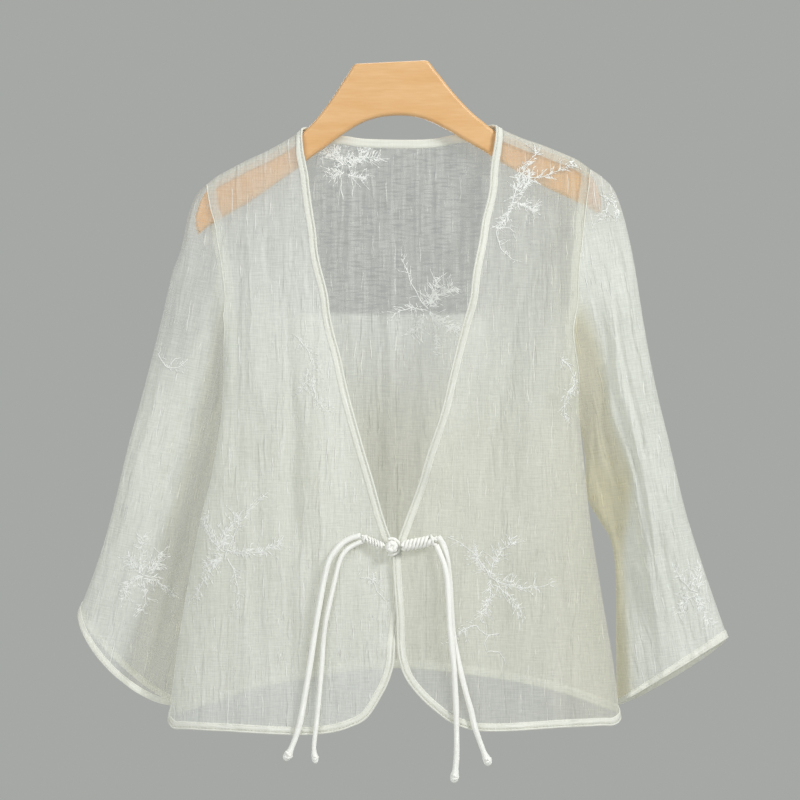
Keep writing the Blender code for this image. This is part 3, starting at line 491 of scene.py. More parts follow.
def woven(name, light, shade, opacity, sheen, crumple):
    """Plain-woven ramie: uneven threads both ways, slubs that wander down the cloth.

    The real threads lie 0.6 mm apart; they are drawn 1.3 mm apart so that they show.
    """
    material, tree, shader = start_material(name)
    grain = add(tree, "UVMap", uv_map="grain").outputs["UV"]

    def threads(across, along, detail=2.0, bend=0.0):
        """Noise drawn out on the cloth to so many millimetres across and along."""
        sizes = (1 / (across * MM), 1 / (along * MM), 0)
        scaled = add(tree, "VectorMath", {0: grain, 1: sizes}, operation="MULTIPLY")
        noise = {"Vector": scaled.outputs[0], "Scale": 1.0, "Detail": detail, "Distortion": bend}
        return add(tree, "TexNoise", noise).outputs["Fac"]

    def hairs(apart, bend, wander, thin, mask, rare):
        """Lines down the cloth that wander and are broken into lengths by a mask."""
        wave = {"Vector": grain, "Scale": 0.314 / (apart * MM), "Distortion": wander,
                "Detail": 2.0, "Detail Scale": bend, "Detail Roughness": 0.55}
        wave = add(tree, "TexWave", wave, bands_direction="X").outputs["Fac"]
        line = add(tree, "MapRange", {"Value": wave, "From Min": thin})
        kept = add(tree, "MapRange", {"Value": mask, "From Min": rare, "From Max": rare + 0.05})
        both = {0: line.outputs[0], 1: kept.outputs[0]}
        return add(tree, "Math", both, operation="MULTIPLY").outputs[0]

    def summed(start, *patterns):
        """A start value, with a share of each of some patterns added."""
        for pattern, share in patterns:
            terms = {0: pattern, 1: share, 2: start}
            start = add(tree, "Math", terms, operation="MULTIPLY_ADD").outputs[0]
        return start

    both_ways = summed(threads(1.2, 22), (threads(15, 1.3), 1.0))
    cover = add(tree, "MapRange", {"Value": both_ways, "From Min": 0.72, "From Max": 1.28})
    cover = cover.outputs[0]
    cloud = threads(26, 90, 3.0)
    long_hairs = hairs(8.0, 0.55, 4.0, 0.9, threads(9, 34, 1.0), 0.59)
    short_hairs = hairs(5.1, 0.7, 3.0, 0.9, threads(7, 18, 1.0), 0.62)
    slub = add(tree, "Math", {0: long_hairs, 1: short_hairs}, operation="MAXIMUM").outputs[0]
    long_crease_bumps_and_highlights = hairs(19.0, 0.5, 4.5, 0.8, threads(20, 80, 1.0), 0.52)
    short_crease_bumps_and_highlights = hairs(13.0, 0.6, 4.0, 0.82, threads(13, 50, 1.0), 0.57)
    fold = add(tree, "Math", {0: long_crease_bumps_and_highlights, 1: short_crease_bumps_and_highlights}, operation="MAXIMUM").outputs[0]
    crumpled = threads(4.5, 34, 3.0, 0.5)
    # The crease lines also make the colour lighter: a painted highlight along each crease; in the
    # height below they are real bumps
    tone = summed(slub, (cover, 0.4), (cloud, 0.6), (fold, 0.16))
    tones = {0: tone, 6: linear(shade), 7: linear(light)}
    mixed = add(tree, "Mix", tones, data_type="RGBA")
    # Where layers lie close together their own light makes each other yellower: a painted glow, set
    # per point by the warm attribute
    warm = add(tree, "Attribute", attribute_name="warm").outputs["Fac"]
    tones = {0: warm, 6: mixed.outputs[2], 7: linear("E0D9B6")}
    mixed = add(tree, "Mix", tones, data_type="RGBA")
    tree.links.new(mixed.outputs[2], shader.inputs["Base Color"])
    shader.inputs["Roughness"].default_value = 0.78
    shader.inputs["Specular IOR Level"].default_value = 0.3
    shader.inputs["Sheen Weight"].default_value = sheen
    shader.inputs["Sheen Roughness"].default_value = 0.4
    height = summed(0.0, (cover, 0.2), (crumpled, 1.5), (fold, 0.6), (slub, 0.45))
    bump = add(tree, "Bump", {"Height": height, "Distance": crumple * MM, "Strength": 1.0})
    tree.links.new(bump.outputs[0], shader.inputs["Normal"])
    if opacity < 1:
        # Where the weave opens, what lies behind shows; the thick and open attributes follow the
        # panel
        # Less cover lets the grey room show and darkens the cloth, more cover lightens it: these
        # attributes also carry painted shade and painted light
        thick = add(tree, "Attribute", attribute_name="thick").outputs["Fac"]
        gaps = add(tree, "Attribute", attribute_name="open").outputs["Fac"]
        dashes = {"Value": threads(13, 1.9, 1.0), "From Min": 0.5, "From Max": 0.62}
        dashes = add(tree, "MapRange", dashes).outputs[0]
        loose = summed(0.0, (dashes, 0.2), (threads(5, 120, 2.0), 0.75))
        loose = add(tree, "Math", {0: loose, 1: gaps}, operation="MULTIPLY").outputs[0]
        part = summed(opacity - 0.17, (cover, 0.14), (cloud, 0.2), (slub, 0.42), (fold, 0.07))
        part = summed(thick, (part, 1.0), (loose, -1.0))
        # The covered share stays between none and all of the cloth
        part = add(tree, "MapRange", {"Value": part}).outputs[0]
        through = {"Color": linear("EFEBD2"), "Normal": bump.outputs[0]}
        glow = add(tree, "BsdfTranslucent", through)
        cloth = add(tree, "MixShader", {0: 0.2, 1: shader.outputs[0], 2: glow.outputs[0]})
        empty = add(tree, "BsdfTransparent")
        whole = add(tree, "MixShader", {0: part, 1: empty.outputs[0], 2: cloth.outputs[0]})
        tree.links.new(whole.outputs[0], tree.nodes["Material Output"].inputs["Surface"])
    return material


# Rolled ramie looks denser and whiter than one layer, matt, with the thread just visible
cord_cloth = woven("rolled_ramie", "FFFFFA", "ECEDE5", 1.0, 0.1, 0.25)


def front_place(x, z, off):
    """A point that lies a distance in front of the cloth, as seen at x, z."""
    spot = body_point(*on_body(x, max(z, LOWEST_CLOTH)), fine=False)
    return real_place(x, spot.y / MM - off, z)


def tie_place(x, z, over):
    return front_place(x, z, TIE_CLEAR + over)


TOWARDS_VIEW = Vector((0, -1, 0))
for name, rows in TIE_ROUTES.items():
    curve = smooth_curve(rows)
    running = lengths(curve, tie_place)
    total = running[-1]
    wanted = spread(0, total - TIE_KNOT[-1].back, round(total / TIE_STEP))
    wanted += [total - row.back for row in TIE_KNOT[-2::-1]]
    path = [tie_place(*spot) for spot in at_lengths(curve, running, wanted)]
    radii = [
        TIE_THICK[name] / 2 * MM * between(TIE_KNOT, total - length).swell
        * (1 + TIE_UNEVEN * math.sin(length / 9 + total)) for length in wanted
    ]
    points, faces = [], []
    sweep(points, faces, path, radii, TIE_SIDES, TOWARDS_VIEW, TIE_FLAT, TIE_SEAM)
    grain = [(k % TIE_SIDES * 1.2 * MM, k // TIE_SIDES * TIE_STEP * MM) for k in range(len(points))]
    cord = make_piece("cord_" + name, points, faces, cord_cloth, grain, [name])

    # The knot: two turns of the cord laid across each other round the swollen end
    points, faces = [], []
    centre_at = min(range(len(wanted)), key=lambda i: abs(total - wanted[i] - KNOT_BACK))
    centre = path[centre_at]
    along = (path[-1] - path[centre_at - 3]).normalized()
    for lean in (0.5, -0.45):
        axis = (along + Vector((lean, lean * 0.4, 0))).normalized()
        one = axis.orthogonal().normalized()
        two = axis.cross(one)
        ring = [
            centre + (one * math.cos(a) + two * math.sin(a)) * TIE_THICK[name] * KNOT_TURN * MM
            + axis * lean * 2.0 * MM
            for a in spread(0, 2 * math.pi, 20)
        ]
        outward = [(spot - centre).normalized() for spot in ring]
        sweep(points, faces, ring, [TIE_THICK[name] * KNOT_CORD * MM] * len(ring), 8, outward)
    grain = [(spot.x, spot.z) for spot in points]
    knot = make_piece("knot_" + name, points, faces, cord_cloth, grain)

# The closure: each pair of ties is plaited for a short way. The left plait ends in a knotted
# button and the right one in a loop that goes over it; both are worked in the same cord.
BRAIDS = {
    "braid_left": (
        (-7, -474.4), (-25.8, -466.8), 3.7, 8.4, 1, ("tie_left_outer", "tie_left_inner")),
    "braid_right": (
        (10.8, -474.6), (40.4, -468.6), 5.6, 11.4, -1, ("tie_right_outer", "tie_right_inner")),
}
BAND_FACE = 1.1
BRAID_CLEAR = 0.6
STRANDS = 3
STRAND_SHARE = 0.3
STRAND_END = 9
STRAND_STEPS = 2.2
STRAND_TIGHT = 0.62
CORE_SHARE = 2.1
BINDING_TURN = 0.84
BINDING_THICK = 1.1
KNOT_PLACE = (0.6, -475)
KNOT_RADIUS = 6.4
KNOT_CLEAR = 0.5
KNOT_STRAND = 1.75
KNOT_CORE = 4.2
KNOT_WAVE = 0.9
KNOT_INSET = 1.8
LOOP_RADIUS = 7.6
LOOP_THICK = 1.5
LOOP_BEHIND = 3.5
LOOP_OPEN = 115

for name, ((x1, z1), (x2, z2), radius, pitch, way, ties) in BRAIDS.items():
    points, faces = [], []
    start = front_place(x1, z1, BAND_FACE + BRAID_CLEAR + radius)
    stop = front_place(x2, z2, BAND_FACE + BRAID_CLEAR + radius)
    axis = (stop - start).normalized()
    across = axis.cross(TOWARDS_VIEW).normalized()
    total = (stop - start).length / MM
    goals = [tie_place(*TIE_ROUTES[tie][0]) for tie in ties]
    goals.append((goals[0] + goals[1]) / 2)
    thick = radius * STRAND_SHARE
    for strand in range(STRANDS):
        path, radii = [], []
        for length in spread(0, total, round(total * STRAND_STEPS)):
            turn = way * 2 * math.pi * (length / pitch + strand / STRANDS)
            grip = STRAND_TIGHT + (1 - STRAND_TIGHT) * smooth_step(-1, 4, length)
            grip *= (radius - thick) * MM
            path.append(
                start + axis * length * MM
                + across * math.sin(turn) * grip + TOWARDS_VIEW * math.cos(turn) * grip)
            radii.append(thick * MM * (0.96 + 0.07 * math.sin(length * 1.9 + strand)))
        last = len(path) - 1
        for back in range(STRAND_END):
            part = 1 - back / STRAND_END
            path[last - back] = path[last - back].lerp(goals[strand], part * part * 0.9)
        sweep(points, faces, path, radii, 10, TOWARDS_VIEW)
    core = [start + axis * length * MM for length in spread(0, total, 8)]
    sweep(points, faces, core, [(radius - thick * CORE_SHARE) * MM] * len(core), 12, TOWARDS_VIEW)
    # One turn of cord binds the end, where the strands leave as the free ties
    centre = stop - axis * 0.4 * MM
    ring = [
        centre + (across * math.cos(a) + TOWARDS_VIEW * math.sin(a)) * radius * BINDING_TURN * MM
        + axis * 0.8 * math.sin(a) * MM for a in spread(0, 2 * math.pi, 24)
    ]
    sweep(points, faces, ring, [BINDING_THICK * MM] * len(ring), 8, axis)
    grain = [(spot.x, spot.z) for spot in points]
    make_piece("plait_" + name, points, faces, cord_cloth, grain, [name])

knot_centre = front_place(*KNOT_PLACE, BAND_FACE + KNOT_CLEAR + KNOT_RADIUS)
points, faces = [], []
path = []
for turn in spread(0, 2 * math.pi, 90):
    lift = KNOT_WAVE * math.sin(4 * turn)
    path.append(knot_centre + Vector((
        math.cos(3 * turn) * math.cos(lift), -math.sin(lift), math.sin(3 * turn) * math.cos(lift),
    )) * (KNOT_RADIUS - KNOT_INSET) * MM)
outward = [(spot - knot_centre).normalized() for spot in path]
sweep(points, faces, path, [KNOT_STRAND * MM] * len(path), 8, outward)
ball = bmesh.new()
bmesh.ops.create_uvsphere(ball, u_segments=20, v_segments=12, radius=KNOT_CORE * MM)
first = len(points)
points += [knot_centre + corner.co for corner in ball.verts]
faces += [tuple(first + corner.index for corner in face.verts) for face in ball.faces]
ball.free()
grain = [(spot.x, spot.z) for spot in points]
make_piece("knotted_button", points, faces, cord_cloth, grain, ["knot_button"])

points, faces = [], []
path = []
for degrees in range(-LOOP_OPEN, LOOP_OPEN + 1, 5):
    turn = math.radians(degrees)
    path.append(knot_centre + Vector((
        LOOP_RADIUS * math.cos(turn), LOOP_BEHIND, LOOP_RADIUS * math.sin(turn))) * MM)
radii = [LOOP_THICK * MM * (1 + 0.06 * math.sin(i * 1.7)) for i in range(len(path))]
sweep(points, faces, path, radii, 10, TOWARDS_VIEW)
grain = [(spot.x, spot.z) for spot in points]
make_piece("loop_cord", points, faces, cord_cloth, grain, ["button_loop"])

# The hanger: one flat beech board, cut to an arch with sloping arms, its edges rounded over
# and finished in clear satin varnish. It has no hook; it is held by the top edge.
BOARD = table(
    "out top under",
    (0, 0, -52.3), (13, 0, -53.1), (26, 0, -56), (33, 0, -58.7), (36.5, -1.2, -60.3),
    (39, -4.2, -61.6), (42.5, -9.5, -63.5), (48.5, -17.5, -67), (54, -25.5, -70.2),
    (60, -33.5, -74.2), (66, -41, -78.4), (78, -54.5, -86), (88, -63.5, -92.5), (99, -73, -101),
    (112, -79, -109), (126, -85.5, -118), (142, -92, -128), (163, -101.5, -139),
    (177, -109.5, -146.5), (187, -118, -152), (194, -128, -157), (199, -141, -160),
)
BOARD_TOP = 33
HANGER_THICK = 10.4
EDGE_WIDE = 3.6
EDGE_DEEP = 3.6
EDGE_STEPS = 7

# Pale steamed beech: long fine pores and a faint figure under a thin satin varnish
beech, tree, shader = start_material("varnished_beech")
place = add(tree, "TexCoord").outputs["Object"]
long_grain = add(tree, "Mapping", {"Vector": place, "Scale": (9, 120, 60)}).outputs[0]
figure = {"Vector": long_grain, "Scale": 1.0, "Detail": 4.0, "Distortion": 0.5}
figure = add(tree, "TexNoise", figure)
fine = add(tree, "Mapping", {"Vector": place, "Scale": (60, 1400, 700)}).outputs[0]
pores = add(tree, "TexNoise", {"Vector": fine, "Scale": 1.0, "Detail": 2.0})
tone = add(tree, "Math", {0: pores.outputs["Fac"], 1: 0.5, 2: figure.outputs["Fac"]},
           operation="MULTIPLY_ADD").outputs[0]
tone = add(tree, "MapRange", {"Value": tone, "From Min": 0.5, "From Max": 1.0}).outputs[0]
tones = {0: tone, 6: linear("DDAB70"), 7: linear("E8BD88")}
mixed = add(tree, "Mix", tones, data_type="RGBA")
tree.links.new(mixed.outputs[2], shader.inputs["Base Color"])
rise = add(tree, "Bump", {"Height": pores.outputs["Fac"], "Distance": 0.08 * MM, "Strength": 0.4})
tree.links.new(rise.outputs[0], shader.inputs["Normal"])
shader.inputs["Roughness"].default_value = 0.42
shader.inputs["Coat Weight"].default_value = 0.25
shader.inputs["Coat Roughness"].default_value = 0.3

half = [(BOARD_TOP * part, 0.0) for part in (0.0, 0.35, 0.7)]
along_top = spread(BOARD_TOP, 60, 24) + spread(60, 199, 60)[1:]
half += [(out, between(BOARD, out).top) for out in along_top]
half += [(199.0, -147.0), (198.6, -153.0)]
half += [(out, between(BOARD, out).under) for out in spread(197, 0, 90)]
outline = half + [(-out, height) for out, height in half[-2:0:-1]]
corners = []
for i, (x, z) in enumerate(outline):
    before, after = outline[i - 1], outline[(i + 1) % len(outline)]
    run = Vector((after[0] - before[0], after[1] - before[1])).normalized()
    corners.append((Vector((x, z)), Vector((run.y, -run.x))))
points, faces = [], []
for side in (-1, 1):
    for step in range(EDGE_STEPS + 1):
        turn = math.pi / 2 * step / EDGE_STEPS
        inward = EDGE_WIDE * (1 - math.cos(turn))
        depth = side * (HANGER_THICK / 2 - EDGE_DEEP + EDGE_DEEP * math.sin(turn))
        for spot, inside in corners:
            x, z = board_place(*(spot + inside * inward))
            points.append(Vector((x, depth, z)) * MM)
rim = len(corners)
for ring in range(2 * EDGE_STEPS + 1):
    if ring == EDGE_STEPS:
        low, high = 0, EDGE_STEPS + 1
    else:
        low, high = (ring + 1, ring) if ring < EDGE_STEPS else (ring, ring + 1)
    for k in range(rim):
        after = (k + 1) % rim
        faces.append((low * rim + k, low * rim + after, high * rim + after, high * rim + k))
rounded = len(faces)
for ring, flip in ((EDGE_STEPS, -1), (2 * EDGE_STEPS + 1, 1)):
    face = [points[ring * rim + k] for k in range(rim)]
    for corner in tessellate_polygon([face]):
        faces.append(tuple(ring * rim + k for k in corner[::flip]))
hanger = make_piece("beech_hanger", points, faces, beech, None, ["hanger"])
for face in hanger.data.polygons[rounded:]:
    face.use_smooth = False

# The panels: back and two fronts of one layer of sheer ramie. The cloth lets nearly half the
# light through, so each layer behind it shows, and the wood glows warm under the shoulders.
SEAM_DROP = 0.1
SIDE_ROWS = 110
ARM_ROWS = 76
FRONT_COLUMNS = 140
SHOULDER_COLUMNS = 50
NECK_COLUMNS = 108
TURN_SHARE = 0.73
FRONT_BAND = 8.0
NECK_BAND = 8.8
HEM_BAND = 9.0
TUCKED = 1.5
PROBE_ANGLE = 0.3
PROBE_LEVEL = 0.2
AT_SEAM = 0.6
SEAM_KEEP_FROM = 34
SEAM_KEEP_TO = 8
ARMHOLE_LEFT = table(
    "x z", (-180, -120), (-177, -142), (-171, -168), (-165, -206), (-163, -240), (-163, -258),
)
ARMHOLE_RIGHT = table(
    "x z", (196, -105.5), (192.5, -130), (189, -163), (184, -207), (182, -242), (181, -285),
)
ARMHOLE_BACK_OUT = 4
ARMPIT_LEFT = -333
ARMPIT_RIGHT = -345
EDGE_LEFT = table(
    "x z",
    (-86, -67), (-86, -84), (-80, -120), (-74, -162), (-69, -199), (-59, -250), (-49, -290),
    (-39, -334), (-25, -384), (-12, -429), (-1, -464), (7, -484), (10.5, -508), (10, -528),
    (7.4, -546), (4.3, -570), (2.8, -590), (-2, -606.5), (-8.5, -620), (-23, -642.5), (-40, -652),
    (-60, -657.5), (-87, -659.5), (-119, -658.5), (-162, -656), (-199, -654), (-213, -653),
)
EDGE_RIGHT = table(
    "x z",
    (102, -66), (100, -87), (97, -109), (91, -147), (86, -176), (80, -207), (72, -250),
    (52, -331), (36, -382), (21, -429), (8, -464), (1.8, -484), (3.1, -516), (5.1, -543),
    (5.6, -570), (8.2, -588), (14, -604), (25.5, -619.5), (40, -633.5), (60, -648), (82, -655),
    (105, -656), (130, -655), (166, -652.5), (205, -650.5), (218, -650),
)
SIDE_CORNER_LEFT = -650
SIDE_CORNER_RIGHT = -648
SIDE_FOOT_LEFT = -642
SIDE_FOOT_RIGHT = -640
BACK_NECK = table(
    "x z", (-86, -67), (-65, -70.5), (-44, -72.5), (-25, -75), (14, -76), (41, -75), (61, -71.5),
    (82, -68.5), (102, -66),
)
BACK_HEM = table(
    "x z", (-203, -637), (-168, -626), (-138, -615), (-83, -604), (-40, -597), (9, -594),
    (57, -598), (107, -605), (156, -615), (206, -632),
)

# One layer of open weave: greyish white, half see-through, a soft shine along the folds from the
# sheen and from a painted highlight along the creases
sheer_cloth = woven("sheer_ramie", "F3F6F2", "DEE3DD", 0.58, 0.15, 1.25)


def body_normal(angle, level, fine=True):
    """Outward normal of the body's surface; along the shoulder seam it has no slope forward."""
    across = (body_point(angle + PROBE_ANGLE, level, fine)
              - body_point(angle - PROBE_ANGLE, level, fine))
    top = between(SHOULDER_LINE, body_point(angle, level, fine).x / MM).z
    if top - level < AT_SEAM:
        normal = Vector((-across.z, 0, across.x)).normalized()
        return -normal if normal.z < 0 else normal
    down = (body_point(angle, level - PROBE_LEVEL, fine)
            - body_point(angle, level + PROBE_LEVEL, fine))
    return down.cross(across).normalized()


def seam_drop(x):
    return between(SHOULDER_LINE, x).z - SEAM_DROP


def on_seam(x, behind=False):
    """Angle and level of the shoulder seam at x."""
    level = seam_drop(x)
    return angle_at(x, level, behind), level


def shoulder_level(angle):
    """The level of the shoulder seam at an angle, found by stepping to it."""
    level = float(SHOULDER[0].height)
    for _ in range(24):
        row = between(BODY, level)
        x = (row.left + row.right) / 2 + (row.right - row.left) / 2 * math.sin(math.radians(angle))
        level = seam_drop(x)
    return level


def along_seam(angle, level, width):
    """A point of the shoulder seam moved away from the neck along the seam."""
    here = body_point(angle, level)
    outward = 1 if (here.x > VIEW_X) == (angle > -90) else -1
    degree = (body_point(angle + outward, level) - here).length
    moved = angle + outward * width * MM / degree
    return moved, shoulder_level(moved)


def inset(curve, width, side):
    """A curve on the body moved inwards by millimetres; side is +1 or -1 of its direction."""
    moved = []
    for i, (angle, level) in enumerate(curve):
        drop = between(SHOULDER_LINE, body_point(angle, level).x / MM).z - level
        if drop < 1:
            moved.append(along_seam(angle, level, width))
            continue
        along = (body_point(*curve[min(len(curve) - 1, i + 1)], False)
                 - body_point(*curve[max(0, i - 1)], False))
        inward = body_normal(angle, level, False).cross(along.normalized()) * side
        turn = (body_point(angle + PROBE_ANGLE, level, False)
                - body_point(angle - PROBE_ANGLE, level, False)) / (2 * PROBE_ANGLE)
        rise = (body_point(angle, level + PROBE_LEVEL, False)
                - body_point(angle, level - PROBE_LEVEL, False)) / (2 * PROBE_LEVEL)
        square = turn.dot(turn) * rise.dot(rise) - turn.dot(rise) ** 2
        by_turn = inward.dot(turn) * width * MM
        by_rise = inward.dot(rise) * width * MM
        new_angle = angle + (by_turn * rise.dot(rise) - by_rise * turn.dot(rise)) / square
        new_level = level + (by_rise * turn.dot(turn) - by_turn * turn.dot(rise)) / square
        top = between(SHOULDER_LINE, body_point(new_angle, new_level, False).x / MM).z
        # Near the shoulder seam the inner line keeps as far down from it as the outer one
        kept = min(new_level, top - drop)
        new_level += (kept - new_level) * smooth_step(SEAM_KEEP_FROM, SEAM_KEEP_TO, drop)
        moved.append((new_angle, new_level))
    return moved


def nudge(curve, towards, distance):
    """A curve on the body moved some millimetres towards a second one with as many points."""
    moved = []
    for (a, b), (c, d) in zip(curve, towards):
        part = distance * MM / (body_point(c, d, False) - body_point(a, b, False)).length
        moved.append((a + (c - a) * part, b + (d - b) * part))
    return moved


def patch(outer, inner, foot, head):
    """A grid between four edges that share their corners: rows go up, columns go inwards."""
    rows = len(outer) - 1
    columns = len(foot) - 1
    grid = []
    for r in range(rows + 1):
        up = r / rows
        line = []
        for c in range(columns + 1):
            over = c / columns
            line.append(tuple(
                (1 - over) * outer[r][i] + over * inner[r][i]
                + (1 - up) * foot[c][i] + up * head[c][i]
                - (1 - over) * (1 - up) * foot[0][i] - over * (1 - up) * foot[-1][i]
                - (1 - over) * up * head[0][i] - over * up * head[-1][i]
                for i in range(2)
            ))
        grid.append(line)
    return grid


def grid_faces(rows, columns):
    return [
        (r * columns + c, r * columns + c + 1, (r + 1) * columns + c + 1, (r + 1) * columns + c)
        for r in range(rows - 1) for c in range(columns - 1)
    ]


def armhole(front_rows, armpit, side):
    """The armhole loop on the body: front half down, then the back half up."""
    front = [on_seam(front_rows[0].x)]
    front += [on_body(row.x, row.z) for row in front_rows[1:]]
    low = (side * SEAM_ANGLE, armpit)
    front.append(low)
    behind = [on_seam(front_rows[0].x, True)]
    behind += [
        on_body(row.x + side * ARMHOLE_BACK_OUT * smooth_step(0, 2, i), row.z, True)
        for i, row in enumerate(front_rows[1:-1], 1)
    ]
    if side > 0:
        behind = [(angle + 360, level) for angle, level in behind]
    behind.append(low)
    loops = []
    for half in (front, behind):
        curve = smooth_curve(half)
        running = lengths(curve, body_point)
        loops.append(at_lengths(curve, running, spread(0, running[-1], ARM_ROWS)))
    return loops


def seam_curve(armpit, foot, side):
    """The side seam from the hem up to the armpit."""
    return [(side * SEAM_ANGLE, level) for level in spread(foot, armpit, SIDE_ROWS)]


LAP_DEPTH = 3.6
LAP_HEAD = (-458, -476)
LAP_FOOT = (-570, -552)
LAP_ACROSS = (-34, -8)


def lap(spot):
    """The left front passes behind the right one for a short way under the closure."""
    x, z = spot.x / MM, spot.z / MM
    down = smooth_step(*LAP_HEAD, z) * smooth_step(*LAP_FOOT, z)
    return spot + Vector((0, LAP_DEPTH * MM * down * smooth_step(*LAP_ACROSS, x), 0))


def panel(name, grid, node, shift=None):
    """A panel of sheer cloth on the body's form, with its weave lying along the cloth."""
    points = []
    grain = []
    for line in grid:
        for angle, level in line:
            spot = body_point(angle, level)
            points.append(shift(spot) if shift else spot)
            grain.append((spot.x * (-1 if node == "back_panel" else 1), level * MM))
    faces = grid_faces(len(grid), len(grid[0]))
    return make_piece(name, points, faces, sheer_cloth, grain, [node])


def front_panel(name, rows, corner, foot, arm_front, armpit, side, node):
    """One front; gives the panel and the two lines that its band lies between."""
    edge = [on_seam(rows[0].x)]
    edge += [on_body(row.x, row.z) for row in rows[1:]]
    edge += [(side * 90, corner), (side * SEAM_ANGLE, foot)]
    edge = smooth_curve(edge)
    running = lengths(edge, body_point)
    turn = running[-1] * TURN_SHARE
    wanted = spread(0, turn, SIDE_ROWS + ARM_ROWS) + spread(turn, running[-1], FRONT_COLUMNS)[1:]
    rim = at_lengths(edge, running, wanted)
    band = inset(rim, FRONT_BAND, side)
    band[-1] = (side * SEAM_ANGLE, band[-1][1])
    cut = nudge(band, rim, TUCKED)
    inner = cut[:SIDE_ROWS + ARM_ROWS + 1][::-1]
    foot_line = cut[SIDE_ROWS + ARM_ROWS:][::-1]
    outer = seam_curve(armpit, foot_line[0][1], side) + arm_front[-2::-1]
    foot_line[0] = outer[0]
    head = [
        (angle, shoulder_level(angle))
        for angle in spread(arm_front[0][0], inner[-1][0], FRONT_COLUMNS)
    ]
    piece = panel(name, patch(outer, inner, foot_line, head), node, lap if side < 0 else None)
    return piece, rim, band


arm_left = armhole(ARMHOLE_LEFT, ARMPIT_LEFT, -1)
arm_right = armhole(ARMHOLE_RIGHT, ARMPIT_RIGHT, 1)
front_left, rim_left, band_left = front_panel(
    "sheer_front_left", EDGE_LEFT, SIDE_CORNER_LEFT, SIDE_FOOT_LEFT, arm_left[0], ARMPIT_LEFT, -1,
    "front_left")
front_right, rim_right, band_right = front_panel(
    "sheer_front_right", EDGE_RIGHT, SIDE_CORNER_RIGHT, SIDE_FOOT_RIGHT, arm_right[0],
    ARMPIT_RIGHT, 1, "front_right")

hem = [(-SEAM_ANGLE, SIDE_FOOT_LEFT)]
hem += [on_body(row.x, row.z, True) for row in BACK_HEM]
hem.append((-360 + SEAM_ANGLE, SIDE_FOOT_RIGHT))
hem = smooth_curve(hem)
running = lengths(hem, body_point)
columns = 2 * SHOULDER_COLUMNS + NECK_COLUMNS
hem_rim = at_lengths(hem, running, spread(0, running[-1], columns))
hem_band = inset(hem_rim, HEM_BAND, -1)
hem_cut = nudge(hem_band, hem_rim, TUCKED)
neck = [on_body(row.x, row.z, True) for row in BACK_NECK]
neck[0] = on_seam(BACK_NECK[0].x, True)
neck[-1] = on_seam(BACK_NECK[-1].x, True)
neck = smooth_curve(neck)
running = lengths(neck, body_point)
neck_rim = at_lengths(neck, running, spread(0, running[-1], NECK_COLUMNS))
neck_band = inset(neck_rim, NECK_BAND, 1)
neck_cut = nudge(neck_band, neck_rim, TUCKED)
left_arm = arm_left[1][::-1]
right_arm = [(angle - 360, level) for angle, level in arm_right[1][::-1]]
left_shoulder = spread(left_arm[-1][0], neck_cut[0][0], SHOULDER_COLUMNS)[:-1]
right_shoulder = spread(neck_cut[-1][0], right_arm[-1][0], SHOULDER_COLUMNS)[1:]
head = [(angle, shoulder_level(angle)) for angle in left_shoulder]
head += neck_cut
head += [(angle, shoulder_level(angle)) for angle in right_shoulder]
outer = [(-SEAM_ANGLE, level) for _, level in seam_curve(ARMPIT_LEFT, hem_cut[0][1], -1)]
outer += left_arm[1:]
inner = [(-360 + SEAM_ANGLE, level) for _, level in seam_curve(ARMPIT_RIGHT, hem_cut[-1][1], 1)]
inner += right_arm[1:]
foot_line = [outer[0], *hem_cut[1:-1], inner[0]]
back = panel("sheer_back", patch(outer, inner, foot_line, head), "back_panel")


def density_and_painted_light(piece, thick, loose=None, warm=None):
    """How much closer, looser and yellower than usual a cloth is drawn at each point; this carries
    painted shade, painted light and a painted glow as well as the weave.
    """
    for name, value_at in (("thick", thick), ("open", loose), ("warm", warm)):
        if value_at:
            values = piece.data.attributes.new(name, "FLOAT", "POINT").data
            for corner, value in zip(piece.data.vertices, values):
                value.value = value_at(corner)


def between_levels(low, high, corner):
    """0 at the low level and 1 at the high one, for a point of a cloth."""
    return smooth_step(low, high, corner.co.z / MM)


# Above a level line the back lets more of the grey room through and looks darker, below it is
# closer and lighter:
# partly a closer weave below, partly painted shade of the fronts and shoulders on the upper back.
# The line is sharp in the neck's opening and fades out behind the fronts.
CLOSER_FROM = -246
CLOSER_SHARP = 2
CLOSER_SOFT = 70
NECK_HALF = 78
BEHIND_FRONTS = 125
BACK_OPEN = 0.1
BACK_OPENER_AND_SHADE = 0.75
BACK_CLOSER_AND_PAINTED_LIGHT = 0.1
BACK_PAINTED_GLOW = 0.3
CHEST = (-260, -120)


def above_line(spot):
    """How far a point of the back is in the looser, darker part: 0 well below the line, 1 above."""
    aside = smooth_step(NECK_HALF, BEHIND_FRONTS, abs(spot.co.x / MM))
    half = CLOSER_SHARP + CLOSER_SOFT * aside
    return between_levels(CLOSER_FROM - half, CLOSER_FROM + half, spot)


# Lower down the back is drawn closer again and yellower: painted light that lightens the shadow of
# the fronts there, and a painted glow of light passed between the layers
density_and_painted_light(
    back,
    lambda spot: BACK_CLOSER_AND_PAINTED_LIGHT * (1 - above_line(spot) + between_levels(-300, -430, spot)),
    lambda spot: BACK_OPEN + BACK_OPENER_AND_SHADE * above_line(spot),
    lambda spot: BACK_PAINTED_GLOW * between_levels(-250, -400, spot))
# The fronts are drawn thinner at the chest, and the right front thinner all over, so more grey room
# shows: painted shade. The right front is yellower towards its side: a painted glow of light
# through the layers
density_and_painted_light(front_left, lambda spot: 0.04 - 0.2 * between_levels(*CHEST, spot))
density_and_painted_light(
    front_right, lambda spot: -0.17 - 0.09 * between_levels(*CHEST, spot), None,
    lambda spot: 0.1 + 0.25 * smooth_step(130, 200, spot.co.x / MM))

